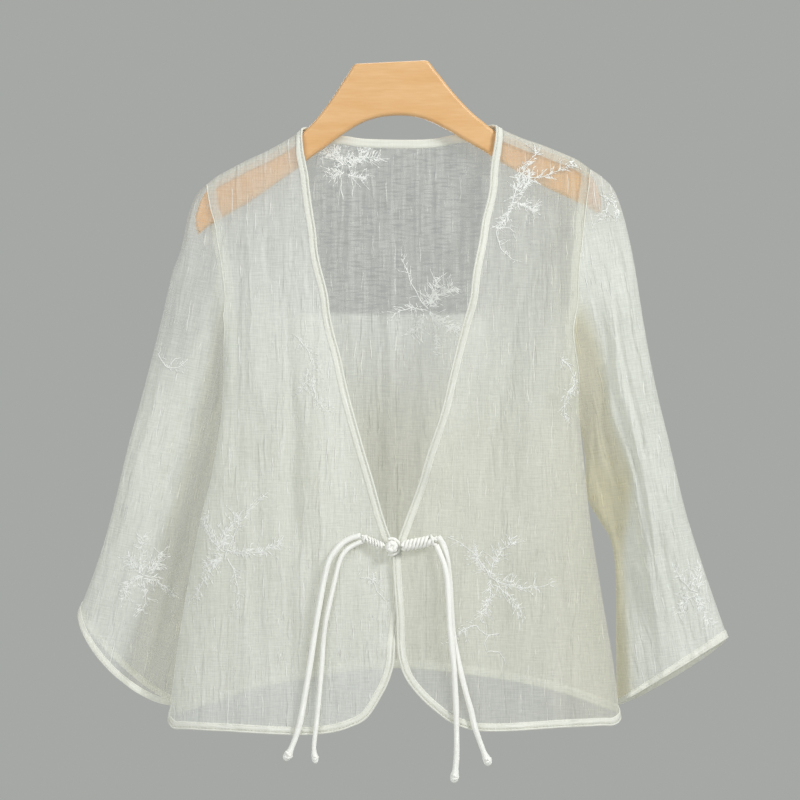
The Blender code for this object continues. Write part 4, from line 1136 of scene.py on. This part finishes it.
# The sleeves: one piece of the same sheer cloth each, wide at the cuff, with the seam on the
# inside of the arm. They hang flat and are crumpled into long uneven creases.
SLEEVE_RINGS = 150
SLEEVE_BLUNT = 0.35
SAG_BLUNT = 0.6
TUCK_START = 0.53
TUCK_END = 0.65
TUCK_FADE = 6
ARMHOLE_FADE = 0.22
CREASE_WANDER = 0.006
OUTER_LEFT = table(
    "x y z",
    (-181, 0, -120), (-191, 0, -130), (-199, 1, -150), (-206, 3, -184), (-214, 6, -206),
    (-225, 10, -253), (-241, 14, -316), (-258, 16, -378), (-273, 18, -441), (-288, 18, -492),
    (-305, 18, -536),
)
INNER_LEFT = table(
    "x y z",
    (-158, 9, -333), (-160, 16, -350), (-161, 23, -375), (-165, 27, -410), (-175, 30, -460),
    (-188, 31, -520), (-199, 31, -580), (-207, 30, -628),
)
OUTER_RIGHT = table(
    "x y z",
    (197, 0, -105.5), (208, 0, -113), (219, 1, -125), (227, 2, -146), (234, 4, -175),
    (240, 6, -207), (248, 10, -258), (259, 13, -316), (274, 15, -378), (289, 16, -441),
    (309, 16, -504), (330, 16, -564),
)
INNER_RIGHT = table(
    "x y z",
    (186, 10, -345), (190, 17, -360), (191, 24, -385), (192, 28, -425), (203, 30, -447),
    (215, 30, -468), (220, 30, -500), (220.5, 30, -560), (221, 29, -630),
)
FULL_LEFT = table(
    "part front back sag_front sag_back tuck",
    (0, 15, 15, 0, 0, 0), (0.12, 17, 17, 0, 0, 0), (0.3, 19, 17, 0, 0, 0),
    (0.55, 22, 18, 3, 2, 4), (0.8, 25, 20, 12, 7, 8), (1, 28, 22, 24.5, 13, 10),
)
FULL_RIGHT = table(
    "part front back sag_front sag_back tuck",
    (0, 15, 15, 0, 0, 0), (0.12, 17, 17, 0, 0, 0), (0.3, 19, 17, 0, 0, 8),
    (0.5, 22, 18, 0, 0, 18), (0.7, 24, 20, 2, 2, 14), (0.85, 26, 21, 2, 4, 4),
    (1, 27, 22, 1, 6, 0),
)
CREASE = "share drift start stop half rise"
CREASES_LEFT = table(
    CREASE,
    (0.12, 0.03, 0.02, 0.70, 0.04, 1.7), (0.24, -0.02, 0.0, 0.55, 0.034, -1.5),
    (0.36, 0.04, 0.05, 0.95, 0.046, 1.9), (0.47, -0.03, 0.10, 0.60, 0.034, -1.5),
    (0.57, 0.02, 0.30, 1.0, 0.04, 1.8), (0.66, 0.0, 0.0, 0.45, 0.046, -2.5),
    (0.75, -0.02, 0.02, 0.50, 0.034, 2.1), (0.80, 0.0, 0.45, 1.0, 0.057, -2.7),
    (0.70, 0.03, 0.55, 1.0, 0.034, 1.5), (0.88, -0.02, 0.10, 0.80, 0.034, 1.5),
    (0.28, 0.02, 0.60, 1.0, 0.034, -1.5), (0.18, -0.02, 0.65, 1.0, 0.034, 1.5),
    (0.42, 0.0, 0.65, 1.0, 0.025, -1.3), (0.06, 0.01, 0.35, 0.9, 0.023, -1.0),
    (0.46, 0.02, 0.0, 0.62, 0.13, -5.0), (0.2, 0.04, 0.02, 0.8, 0.11, 3.0),
)
CREASES_RIGHT = table(
    CREASE,
    (0.08, 0.02, 0.02, 0.50, 0.029, 1.4), (0.16, -0.02, 0.05, 0.65, 0.029, -1.5),
    (0.24, 0.03, 0.10, 0.80, 0.034, 1.8), (0.32, 0.0, 0.0, 0.55, 0.032, -1.7),
    (0.41, 0.02, 0.15, 0.95, 0.034, 1.5), (0.48, -0.02, 0.05, 0.60, 0.034, -2.1),
    (0.56, 0.0, 0.22, 0.62, 0.034, 2.9), (0.64, 0.02, 0.02, 0.40, 0.046, -2.5),
    (0.76, 0.0, 0.05, 0.50, 0.046, 2.1), (0.86, -0.02, 0.15, 0.65, 0.04, -1.7),
    (0.13, 0.02, 0.60, 1.0, 0.034, 1.7), (0.36, -0.02, 0.62, 1.0, 0.034, -1.7),
    (0.55, 0.02, 0.65, 1.0, 0.04, 1.9), (0.72, 0.0, 0.60, 1.0, 0.04, -1.9),
    (0.88, 0.0, 0.68, 1.0, 0.034, 1.5), (0.27, 0.0, 0.72, 1.0, 0.023, -1.2),
    (0.34, 0.03, 0.0, 0.75, 0.11, 3.5), (0.58, 0.0, 0.0, 0.45, 0.09, -3.5),
)


def half_shares(points):
    """Running share of the way along a half loop."""
    total = [0.0]
    for a, b in zip(points, points[1:]):
        total.append(total[-1] + (b - a).length)
    return [length / total[-1] for length in total]


def sleeve_rings(outer, inner, full, creases, loops, side, parts):
    """Rings of a sleeve from armpit to armpit; the first one lies on the armhole."""
    front, behind = loops
    hole = [body_point(*spot) for spot in front + behind[-2:0:-1]]
    half = len(front) - 1
    around = len(hole)
    front_shares = half_shares(hole[:half + 1])
    back_shares = half_shares([hole[0]] + hole[:half - 1:-1])
    outer = smooth_curve(outer)
    inner = smooth_curve(inner)
    outer_run = lengths(outer, real_place)
    inner_run = lengths(inner, real_place)

    def plain(part):
        out = at_lengths(outer, outer_run, [part * outer_run[-1]])[0]
        low = at_lengths(inner, inner_run, [part * inner_run[-1]])[0]
        row = between(full, part)
        long = math.hypot(low[0] - out[0], low[2] - out[2])
        down_x = -(low[2] - out[2]) / long * side
        down_z = (low[0] - out[0]) / long * side
        ring = []
        for k in range(around):
            ahead = k <= half
            share = front_shares[k] if ahead else back_shares[around - k]
            x, y, z = (a + (b - a) * share for a, b in zip(out, low))
            bow = max(0.0, 4 * share * (1 - share))
            sag = (row.sag_front if ahead else row.sag_back) * bow ** SAG_BLUNT
            rise = 0.0
            for crease in creases:
                along = (part - crease.start) / (crease.stop - crease.start)
                if 0 < along < 1 or crease.stop == 1 and along >= 1:
                    at = crease.share + crease.drift * along
                    at += CREASE_WANDER * math.sin(part * 31 + crease.share * 40)
                    if not ahead:
                        at = 1 - at
                    fade = smooth_step(0, FOLD_START, along)
                    if crease.stop < 1:
                        fade *= smooth_step(0, FOLD_STOP, 1 - along)
                    rise += crease.rise * fade * math.exp(-((share - at) / crease.half) ** 2)
            rise *= min(1.0, 3 * bow)
            if ahead:
                y -= row.front * bow ** SLEEVE_BLUNT + rise
                y += row.tuck * smooth_step(TUCK_START, TUCK_END, share) * (1 - share ** TUCK_FADE)
            else:
                y += row.back * bow ** SLEEVE_BLUNT + rise
            ring.append(real_place(x + down_x * sag, y, z + down_z * sag))
        return ring

    miss = [spot - place for spot, place in zip(hole, plain(0.0))]
    rings = []
    for part in parts:
        fit = 1 - smooth_step(0, ARMHOLE_FADE, part)
        ring = [spot + off * fit for spot, off in zip(plain(part), miss)]
        rings.append(ring[half:] + ring[:half + 1])
    return rings


CUFF_BAND = 8.5
SLEEVE_GRAIN = {"left": 0.2, "right": -0.16}
SLEEVE_LOOSEST = -0.3
SLEEVES = {
    "left": (OUTER_LEFT, INNER_LEFT, FULL_LEFT, CREASES_LEFT, arm_left, -1),
    "right": (OUTER_RIGHT, INNER_RIGHT, FULL_RIGHT, CREASES_RIGHT, arm_right, 1),
}
sleeves = {}
cuff_rings = {}


def sleeve_side(spot):
    """How far out on the sleeve a point lies, and how far in the fold beside the body."""
    out = 1 - abs(2 * (spot.index % around) / (around - 1) - 1)
    if name == "left":
        return out, smooth_step(0.52, 0.3, out)
    high = between_levels(-500, -400, spot)
    return out, smooth_step(0.2 + 0.3 * high, 0.04 + 0.3 * high, out)


def sleeve_density_and_painted_shade(spot):
    """Closer on the sleeve's outer half, looser beside the body and over the wood: painted light
    and painted shade.
    """
    # Looser parts let the grey room show: painted shade of the body and of the fold beside it, and
    # on the left sleeve also in a soft fold high on the outer side and low down; the closer outer
    # half is painted light
    out, beside = sleeve_side(spot)
    if name == "left":
        value = 0.13 * smooth_step(0.35, 0.6, out) - 0.36 * smooth_step(0.58, 0.2, out)
        value -= 0.4 * smooth_step(0.45, 0.66, out) * between_levels(-390, -240, spot)
        value -= 0.16 * between_levels(-440, -520, spot)
    else:
        value = 0.05 + 0.13 * smooth_step(0.45, 0.6, out)
        value -= beside * (0.05 + 0.25 * between_levels(-440, -330, spot))
    return max(SLEEVE_LOOSEST, value - 0.2 * between_levels(-200, -130, spot))


def sleeve_painted_glow(spot):
    """Yellowest in the fold beside the body: a painted glow of light passed through the layers
    there.
    """
    return (0.35 if name == "left" else 0.85) * sleeve_side(spot)[1]


for name, sleeve in SLEEVES.items():
    long = lengths(smooth_curve(sleeve[0]), real_place)[-1]
    turn = 1 - (CUFF_BAND - TUCKED) / long
    rings = sleeve_rings(*sleeve, spread(0, turn, SLEEVE_RINGS))
    cuff_rings[name] = sleeve_rings(*sleeve, [1.0, 1 - CUFF_BAND / long])
    points = [spot for ring in rings for spot in ring]
    around = len(rings[0])
    lean = SLEEVE_GRAIN[name]
    grain = [(spot.x - spot.z * lean, spot.z + spot.x * lean) for spot in points]
    sleeves[name] = make_piece(
        "sheer_sleeve_" + name, points, grid_faces(len(rings), around), sheer_cloth,
        grain, ["sleeve_" + name])
    density_and_painted_light(sleeves[name], sleeve_density_and_painted_shade, None, sleeve_painted_glow)

# Bands and hems: a folded strip of ramie binds the fronts and the neck, with its outer edge
# rolled over a fine cord; hems and cuffs are turned up twice. All are stitched by machine.
BOUND_EDGE = (
    (0.0, 0.0), (0.15, 0.75), (0.9, 1.35), (1.8, 1.2), (2.4, 0.1), (2.9, 0.7), (4.0, 0.95),
    (6.0, 0.9), (7.0, 0.55), (7.6, 0.7), (8.0, 0.25), (7.7, -0.5), (5.0, -0.7), (2.4, -0.5),
    (1.2, -1.0), (0.2, -0.7),
)
TURNED_HEM = (
    (0.0, 0.0), (0.2, 0.7), (0.9, 0.95), (2.0, 0.8), (4.5, 0.9), (6.8, 0.8), (7.5, 0.45),
    (8.2, 0.7), (9.0, 0.2), (8.6, -0.5), (5.0, -0.75), (2.0, -0.7), (0.4, -0.7),
)
STITCH = 2.3
STITCH_PITCH = 3.3
STITCH_THICK = 0.28
STITCH_DIP = 0.6
STITCH_ROWS = (("stitches_inner", 0.86, 0.62), ("stitches_outer", 0.33, 0.95))

# Three and more layers of ramie hide what is behind; cream, with the same threads
band_cloth = woven("folded_ramie", "EFF0E7", "DADBCF", 1.0, 0.1, 0.2)
# Spun polyester thread: matt, slightly brighter than the cloth, its twist too fine to see
thread, tree, shader = start_material("sewing_thread")
twist = add(tree, "TexNoise", {"Scale": 900.0, "Detail": 2.0}).outputs["Fac"]
tones = {0: twist, 6: linear("DADCCD"), 7: linear("F6F6EC")}
mixed = add(tree, "Mix", tones, data_type="RGBA")
tree.links.new(mixed.outputs[2], shader.inputs["Base Color"])
shader.inputs["Roughness"].default_value = 0.6


def band(name, rim, inner, normals, profile, width, nodes, closed=False):
    """A bound edge between the rim and its inner line, swept through its folded profile."""
    points, faces, grain = [], [], []
    sides = len(profile)
    scale = width / max(across for across, _ in profile)
    length = 0.0
    for i, (edge, inside, normal) in enumerate(zip(rim, inner, normals)):
        if i:
            length += (edge - rim[i - 1]).length
        for across, height in profile:
            points.append(edge + (inside - edge) * (across * scale / width) + normal * height * MM)
            grain.append((across * MM, length))
    for i in range(len(rim) - 1):
        for k in range(sides):
            after = (k + 1) % sides
            faces.append((
                i * sides + k, i * sides + after, (i + 1) * sides + after, (i + 1) * sides + k))
    if not closed:
        faces.append(tuple(range(sides)))
        last = (len(rim) - 1) * sides
        faces.append(tuple(range(last + sides - 1, last - 1, -1)))
    return make_piece(name, points, faces, band_cloth, grain, nodes)


def stitch_row(name, rims, share, lift):
    """Machine stitches along bands: short threads lying a little into the cloth."""
    points, faces = [], []
    for rim, inner, normals in rims:
        line = [a + (b - a) * share + n * lift * MM for a, b, n in zip(rim, inner, normals)]
        running = [0.0]
        for a, b in zip(line, line[1:]):
            running.append(running[-1] + (b - a).length / MM)
        start = STITCH_PITCH / 2
        while start + STITCH < running[-1]:
            wanted = [start, start + STITCH * 0.3, start + STITCH * 0.7, start + STITCH]
            path = [Vector(spot) for spot in at_lengths(line, running, wanted)]
            near = min(range(len(line)), key=lambda i: abs(running[i] - start))
            dip = normals[near] * STITCH_THICK * STITCH_DIP * MM
            path[0] -= dip
            path[-1] -= dip
            sweep(points, faces, path, [STITCH_THICK * MM] * 4, 5, normals[near])
            start += STITCH_PITCH
    return make_piece(name, points, faces, thread)


def on_surface(curve):
    return [body_point(*spot) for spot in curve]


def normals_of(curve):
    return [body_normal(*spot) for spot in curve]


edges = {}
for name, rim, inside, profile, width in (
        ("binding_front_left", rim_left, band_left, BOUND_EDGE, FRONT_BAND),
        ("binding_front_right", rim_right, band_right, BOUND_EDGE, FRONT_BAND),
        ("binding_back_neck", neck_rim, neck_band, BOUND_EDGE, NECK_BAND),
        ("hem_back", hem_rim, hem_band, TURNED_HEM, HEM_BAND)):
    edge = (on_surface(rim), on_surface(inside), normals_of(rim))
    if name == "binding_front_left":
        edge = ([lap(spot) for spot in edge[0]], [lap(spot) for spot in edge[1]], edge[2])
    edges[name] = (edge, band("band_" + name, *edge, profile, width, [name]))
for name, (rim, inside) in cuff_rings.items():
    normals = []
    for k in range(len(rim)):
        after = rim[(k + 1) % (len(rim) - 1)]
        before = rim[(k - 1) % (len(rim) - 1)]
        normal = (after - before).cross(inside[k] - rim[k]).normalized()
        centre = sum(rim, Vector()) / len(rim)
        normals.append(normal if normal.dot(rim[k] - centre) > 0 else -normal)
    edge = (rim, inside, normals)
    edges["cuff_" + name] = (
        edge, band("band_cuff_" + name, *edge, TURNED_HEM, CUFF_BAND, ["cuff_" + name], True))
rows = [edge for edge, _ in edges.values()]
inner_row, outer_row = (
    stitch_row(name, rows, share, lift) for name, share, lift in STITCH_ROWS)

# Seam allowances: the cut edges of the shoulder and armhole seams, folded to the inside and
# overcast. They show through the sheer cloth as paler strips beside each seam.
ALLOWANCE = 8.0
SHOULDER_ALLOWANCE = 15.5
UNDER = 0.8
STRIP_CLOSER = 0.04
STRIP_COLUMNS = 80
STRIP_ROWS = 6
STRIP_INWARD = 0.9
STRIP_DOWN = 0.4
SHOULDER_STRIPS = (("left", -177, -92), ("right", 108, 192))


def allowance(name, curve, side):
    """A strip of the same cloth just inside the panel, from the seam inwards."""
    inner = inset(curve, ALLOWANCE, side)
    points, grain = [], []
    for a, b in zip(curve, inner):
        normal = body_normal(*a)
        for share in (0.0, 0.5, 1.0):
            spot = (a[0] + (b[0] - a[0]) * share, a[1] + (b[1] - a[1]) * share)
            points.append(body_point(*spot) - normal * UNDER * MM)
            grain.append((points[-1].x, points[-1].z))
    return make_piece(name, points, grid_faces(len(curve), 3), sheer_cloth, grain)


def shoulder_allowance(name, first, last, behind=False):
    """The turned-in edges of a shoulder seam: three layers, which hide the wood's top."""
    points, grain = [], []
    rows = spread(0, SHOULDER_ALLOWANCE, STRIP_ROWS)
    for x in spread(first, last, STRIP_COLUMNS):
        for down in rows:
            level = seam_drop(x) - down
            spot = body_point(angle_at(x, level, behind), level)
            points.append(Vector((spot.x, spot.y * STRIP_INWARD, spot.z - STRIP_DOWN * MM)))
            grain.append((x * MM, level * MM))
    faces = grid_faces(len(points) // len(rows), len(rows))
    return make_piece(name, points, faces, sheer_cloth, grain)


allowances = []
for name, loops, side in (("left", arm_left, -1), ("right", arm_right, 1)):
    front, behind = loops
    allowances.append(allowance("allowance_front_" + name, front[2:], -side))
    allowances.append(allowance("allowance_back_" + name, behind[2:], side))
for name, first, last in SHOULDER_STRIPS:
    for place, behind in (("front", False), ("back", True)):
        strip = shoulder_allowance(f"allowance_shoulder_{place}_{name}", first, last, behind)
        density_and_painted_light(strip, lambda spot: STRIP_CLOSER)
        allowances.append(strip)

# Each armhole's seam is pressed flat and lies as a fine ridge on the outside
RIDGE = 0.5
RIDGE_LIFT = 0.3
RIDGE_FLAT = 0.7
for name, loops in (("left", arm_left), ("right", arm_right)):
    points, faces = [], []
    for loop in loops:
        facing = [body_normal(*spot, False) for spot in loop[1:]]
        spots = [
            body_point(*spot) + out * RIDGE_LIFT * MM for spot, out in zip(loop[1:], facing)]
        sweep(points, faces, spots, [RIDGE * MM] * len(spots), 8, facing, RIDGE_FLAT)
    grain = [(spot.x, spot.z) for spot in points]
    name = "allowance_ridge_sleeve_" + name
    allowances.append(make_piece(name, points, faces, band_cloth, grain))

# Embroidery: sprays of bamboo-like leaves on thin twigs, machine-embroidered in white rayon.
# The satin stitches stand a little proud of the sheer cloth and shine softly.
LEAF_LIFT = 0.35
LEAF_LONG = 5.4
LEAF_WIDE = 0.95
TIP_LONG = 3.8
TIP_WIDE = 0.85
TWIG_THICK = 0.5
SIDE_TWIG_THICK = 0.3
LEAVES_EACH = 5
LEAF_HOOK = 0.4
LEAF_RISE = 0.5
LEAF_EDGE = 0.12
LEAF_FORM = ((0.0, 0.2), (0.2, 0.75), (0.45, 1.0), (0.7, 0.75), (1.0, 0.12))
TWIG_STEP = 2.2
TWIG_SHAKE = 0.5
FIRST_LEAF = 0.08
LEAF_TURN = (0.35, 1.25)
LEAF_SIZE = (0.65, 1.15)
LEAF_ASIDE = (-2.6, 2.6)
LEAF_UP = (-2.0, 3.4)
SIDE_TWIG_LONG = (5, 11)
SPRAY = "x z to_x to_z bend leaves size"
SPRAYS = {
    "back": table(
        SPRAY,
        (-47, -135, -47, -96, 2, 0, 1.0), (-38, -132, -42, -100, -2, 0, 1.0),
        (-47, -102, -72, -86, -3, 12, 1.0), (-45, -99, -13, -94, 3, 12, 1.0),
        (-44, -101, -56, -80, 2, 9, 1.0), (-42, -104, -28, -82, -3, 9, 1.0),
        (-46, -108, -62, -108, 3, 7, 0.9), (-42, -110, -24, -112, -2, 7, 0.9),
        (36, -242, 12, -193, 3, 4, 0.9), (36, -244, -1, -251, -6, 5, 0.9),
        (38, -240, 60, -222, 3, 13, 1.1), (38, -246, 44, -284, 3, 5, 0.9),
        (38, -244, 66, -262, -4, 13, 1.1), (34, -240, 44, -214, -3, 10, 1.0),
        (32, -246, 20, -266, 3, 8, 1.0),
    ),
    "front_right": table(
        SPRAY,
        (121, -132, 143, -88, 4, 9, 1.1), (116, -112, 178, -98, -7, 11, 1.0),
        (120, -130, 104, -162, 4, 9, 1.0), (118, -134, 136, -108, -4, 9, 1.0),
        (104, -164, 128, -196, -8, 1, 0.8), (104, -164, 122, -168, 4, 1, 0.8),
        (118, -138, 140, -148, 3, 8, 1.0), (166, -290, 180, -322, 5, 6, 0.8),
        (178, -318, 172, -350, -5, 6, 0.8), (97, -506, 57, -466, -6, 3, 0.9),
        (97, -504, 119, -470, 5, 9, 1.0), (97, -504, 158, -510, -8, 9, 1.0),
        (97, -508, 86, -548, 4, 9, 1.0), (84, -552, 106, -560, -5, 0, 0.8),
        (106, -560, 94, -578, -8, 0, 0.8), (94, -578, 112, -590, 6, 0, 0.8),
        (100, -512, 126, -540, 4, 6, 1.0), (84, -552, 60, -568, -4, 7, 0.8),
        (92, -500, 84, -476, 3, 8, 0.9),
    ),
    "front_left": table(
        SPRAY,
        (-94, -268, -76, -306, 5, 6, 0.8), (-76, -306, -66, -340, -4, 7, 0.8),
        (-82, -300, -92, -326, 3, 4, 0.8), (-163, -488, -121, -421, 6, 6, 0.9),
        (-163, -478, -110, -472, -6, 13, 1.0), (-163, -480, -183, -446, 5, 9, 1.0),
        (-166, -486, -190, -528, -5, 6, 0.9), (-160, -486, -152, -534, 5, 4, 0.9),
        (-164, -478, -150, -446, 4, 10, 1.0), (-166, -482, -182, -492, 4, 8, 1.0),
        (-30, -506, -12, -512, 3, 2, 0.8), (-18, -500, -4, -528, -4, 2, 0.8),
    ),
    "sleeve_left": table(
        SPRAY,
        (-228, -285, -199, -291, -12, 2, 0.9), (-216, -298, -206, -290, 3, 0, 0.8),
        (-243, -500, -243, -468, 3, 6, 1.0), (-243, -504, -262, -524, -4, 9, 1.0),
        (-243, -506, -214, -524, 5, 7, 1.0), (-243, -502, -256, -486, 3, 9, 1.0),
        (-240, -500, -226, -484, -3, 9, 1.0), (-243, -508, -244, -538, 3, 4, 0.9),
    ),
    "sleeve_right": table(
        SPRAY,
        (205, -130, 222, -150, 4, 6, 0.9), (212, -138, 205, -152, 3, 4, 0.8),
        (300, -520, 278, -492, 4, 6, 1.0), (300, -520, 314, -550, -3, 8, 1.0),
        (302, -518, 304, -494, 3, 7, 0.9), (300, -522, 284, -540, -4, 8, 1.0),
    ),
}
HIDDEN_SPRAYS = {
    "back": table(
        SPRAY,
        (-120, -400, -90, -350, 6, 8, 1.0), (-120, -404, -76, -410, -6, 12, 1.0),
        (-122, -402, -146, -372, 5, 10, 1.0), (-120, -408, -128, -452, -4, 8, 1.0),
        (128, -520, 96, -480, -6, 8, 1.0), (128, -522, 168, -508, 6, 10, 1.0),
        (126, -524, 112, -562, 4, 9, 1.0), (130, -518, 150, -482, 4, 10, 1.0),
    ),
    "sleeve_left": table(
        SPRAY,
        (-232, -420, -214, -380, 4, 8, 1.0), (-232, -424, -252, -452, 4, 8, 1.0),
    ),
    "sleeve_right": table(
        SPRAY,
        (246, -380, 262, -342, 4, 8, 1.0), (246, -384, 236, -420, 4, 8, 1.0),
    ),
}

# Rayon floss: bright white, laid in parallel satin stitches that catch the light unevenly, painted
# as a fine uneven tone: painted sheen
silk, tree, shader = start_material("embroidery_rayon")
painted_floss_sheen = add(tree, "TexNoise", {"Scale": 700.0, "Detail": 2.0}).outputs["Fac"]
tones = {0: painted_floss_sheen, 6: linear("E6E9E4"), 7: linear("FCFDF9")}
mixed = add(tree, "Mix", tones, data_type="RGBA")
tree.links.new(mixed.outputs[2], shader.inputs["Base Color"])
shader.inputs["Roughness"].default_value = 0.45
shader.inputs["Sheen Weight"].default_value = 0.3

cloths = {
    "back": back, "front_left": front_left, "front_right": front_right,
    "sleeve_left": sleeves["left"], "sleeve_right": sleeves["right"],
}
trees = {}
for name, piece in cloths.items():
    corners = [corner.co.copy() for corner in piece.data.vertices]
    faces = [tuple(face.vertices) for face in piece.data.polygons]
    trees[name] = BVHTree.FromPolygons(corners, faces)


def on_cloth(name, x, z, lift, behind):
    """The point of a piece of cloth that shows at x, z, raised towards the viewer."""
    eye = Vector((VIEW_X, VIEW_DISTANCE if behind else -VIEW_DISTANCE, VIEW_Z))
    aim = (Vector((x * MM, 0, z * MM)) - eye).normalized()
    hit, normal, _, _ = trees[name].ray_cast(eye, aim)
    if hit is None:
        return None
    if normal.dot(aim) > 0:
        normal = -normal
    return hit + normal * lift * MM


def twig(name, curve, thick, behind, points, faces):
    spots = [on_cloth(name, x, z, LEAF_LIFT, behind) for x, z in curve]
    spots = [spot for spot in spots if spot]
    if len(spots) > 2:
        radii = [thick * MM * (1 - 0.5 * i / len(spots)) for i in range(len(spots))]
        sweep(points, faces, spots, radii, 5, TOWARDS_VIEW)


def leaf(name, x, z, turn, long, wide, behind, points, faces):
    """A narrow pointed leaf of satin stitch, raised along its middle."""
    first = len(points)
    ax, az = math.cos(turn), math.sin(turn)
    hook = LEAF_HOOK * math.sin(x * 3.1 + z) * long
    made = []
    for along, half in LEAF_FORM:
        for across in (-1, 0, 1):
            bow = hook * along * along + wide / 2 * half * across
            px = x + ax * long * along - az * bow
            pz = z + az * long * along + ax * bow
            lift = LEAF_EDGE + LEAF_RISE * (across == 0)
            made.append(on_cloth(name, px, pz, lift, behind))
    if all(made):
        points += made
        for r in range(len(LEAF_FORM) - 1):
            for c in range(2):
                a = first + r * 3 + c
                faces.append((a, a + 1, a + 4, a + 3))


def embroider(rows, behind, seed, suffix):
    """Each row is a twig with its leaves; the rows of one cloth make one piece."""
    chance = random.Random(seed)
    made = []
    for name, sprays in rows.items():
        points, faces = [], []
        for row in sprays:
            dx, dz = row.to_x - row.x, row.to_z - row.z
            long = math.hypot(dx, dz)
            curve = []
            for part in spread(0, 1, max(6, round(long / TWIG_STEP))):
                bow = row.bend * 4 * part * (1 - part)
                bow += TWIG_SHAKE * math.sin(part * 17 + row.x)
                x = row.x + dx * part - dz / long * bow
                curve.append((x, row.z + dz * part + dx / long * bow))
            twig(name, curve, TWIG_THICK, behind, points, faces)
            for i in range(row.leaves * LEAVES_EACH):
                part = chance.uniform(FIRST_LEAF, 1.0)
                x, z = curve[min(len(curve) - 1, int(part * len(curve)))]
                turn = math.atan2(dz, dx) + chance.choice((-1, 1)) * chance.uniform(*LEAF_TURN)
                size = row.size * chance.uniform(*LEAF_SIZE)
                x += chance.uniform(*LEAF_ASIDE)
                z += chance.uniform(*LEAF_UP)
                leaf(name, x, z, turn, LEAF_LONG * size, LEAF_WIDE * size, behind, points, faces)
                if i % 3 == 0:
                    reach = chance.uniform(*SIDE_TWIG_LONG) * row.size
                    side = []
                    for part in spread(0, 1, 5):
                        bent, out = turn + 0.3 * part, reach * part
                        side.append((x + math.cos(bent) * out, z + math.sin(bent) * out))
                    twig(name, side, SIDE_TWIG_THICK, behind, points, faces)
                    tip = side[-1]
                    leaf(name, *tip, turn, TIP_LONG * size, TIP_WIDE * size, behind, points, faces)
        piece = make_piece("embroidery_" + name + suffix, points, faces, silk)
        made.append((name, piece))
    return made


embroidery = embroider(SPRAYS, False, 11, "") + embroider(HIDDEN_SPRAYS, True, 23, "_behind")


# The cut of what shows of each sheet, before it was sewn; a sleeve is one piece all round,
# as wide as its armhole and as long as its cap and underarm seam together
CUTS = (
    (back, "back", 0.44, 0.58, 0.204, [edges["hem_back"][1], edges["binding_back_neck"][1]]),
    (front_left, "front_left", 0.23, 0.59, 0.088,
     [edges["binding_front_left"][1], inner_row, outer_row]),
    (front_right, "front_right", 0.23, 0.59, 0.089, [edges["binding_front_right"][1]]),
    (sleeves["left"], "sleeve_left", 0.43, 0.52, 0.095, [edges["cuff_left"][1]]),
    (sleeves["right"], "sleeve_right", 0.485, 0.54, 0.095, [edges["cuff_right"][1]]),
)
for piece, name, wide, long, area, sewn_on in CUTS:
    sewn_on += [strip for strip in allowances if name in strip.name]
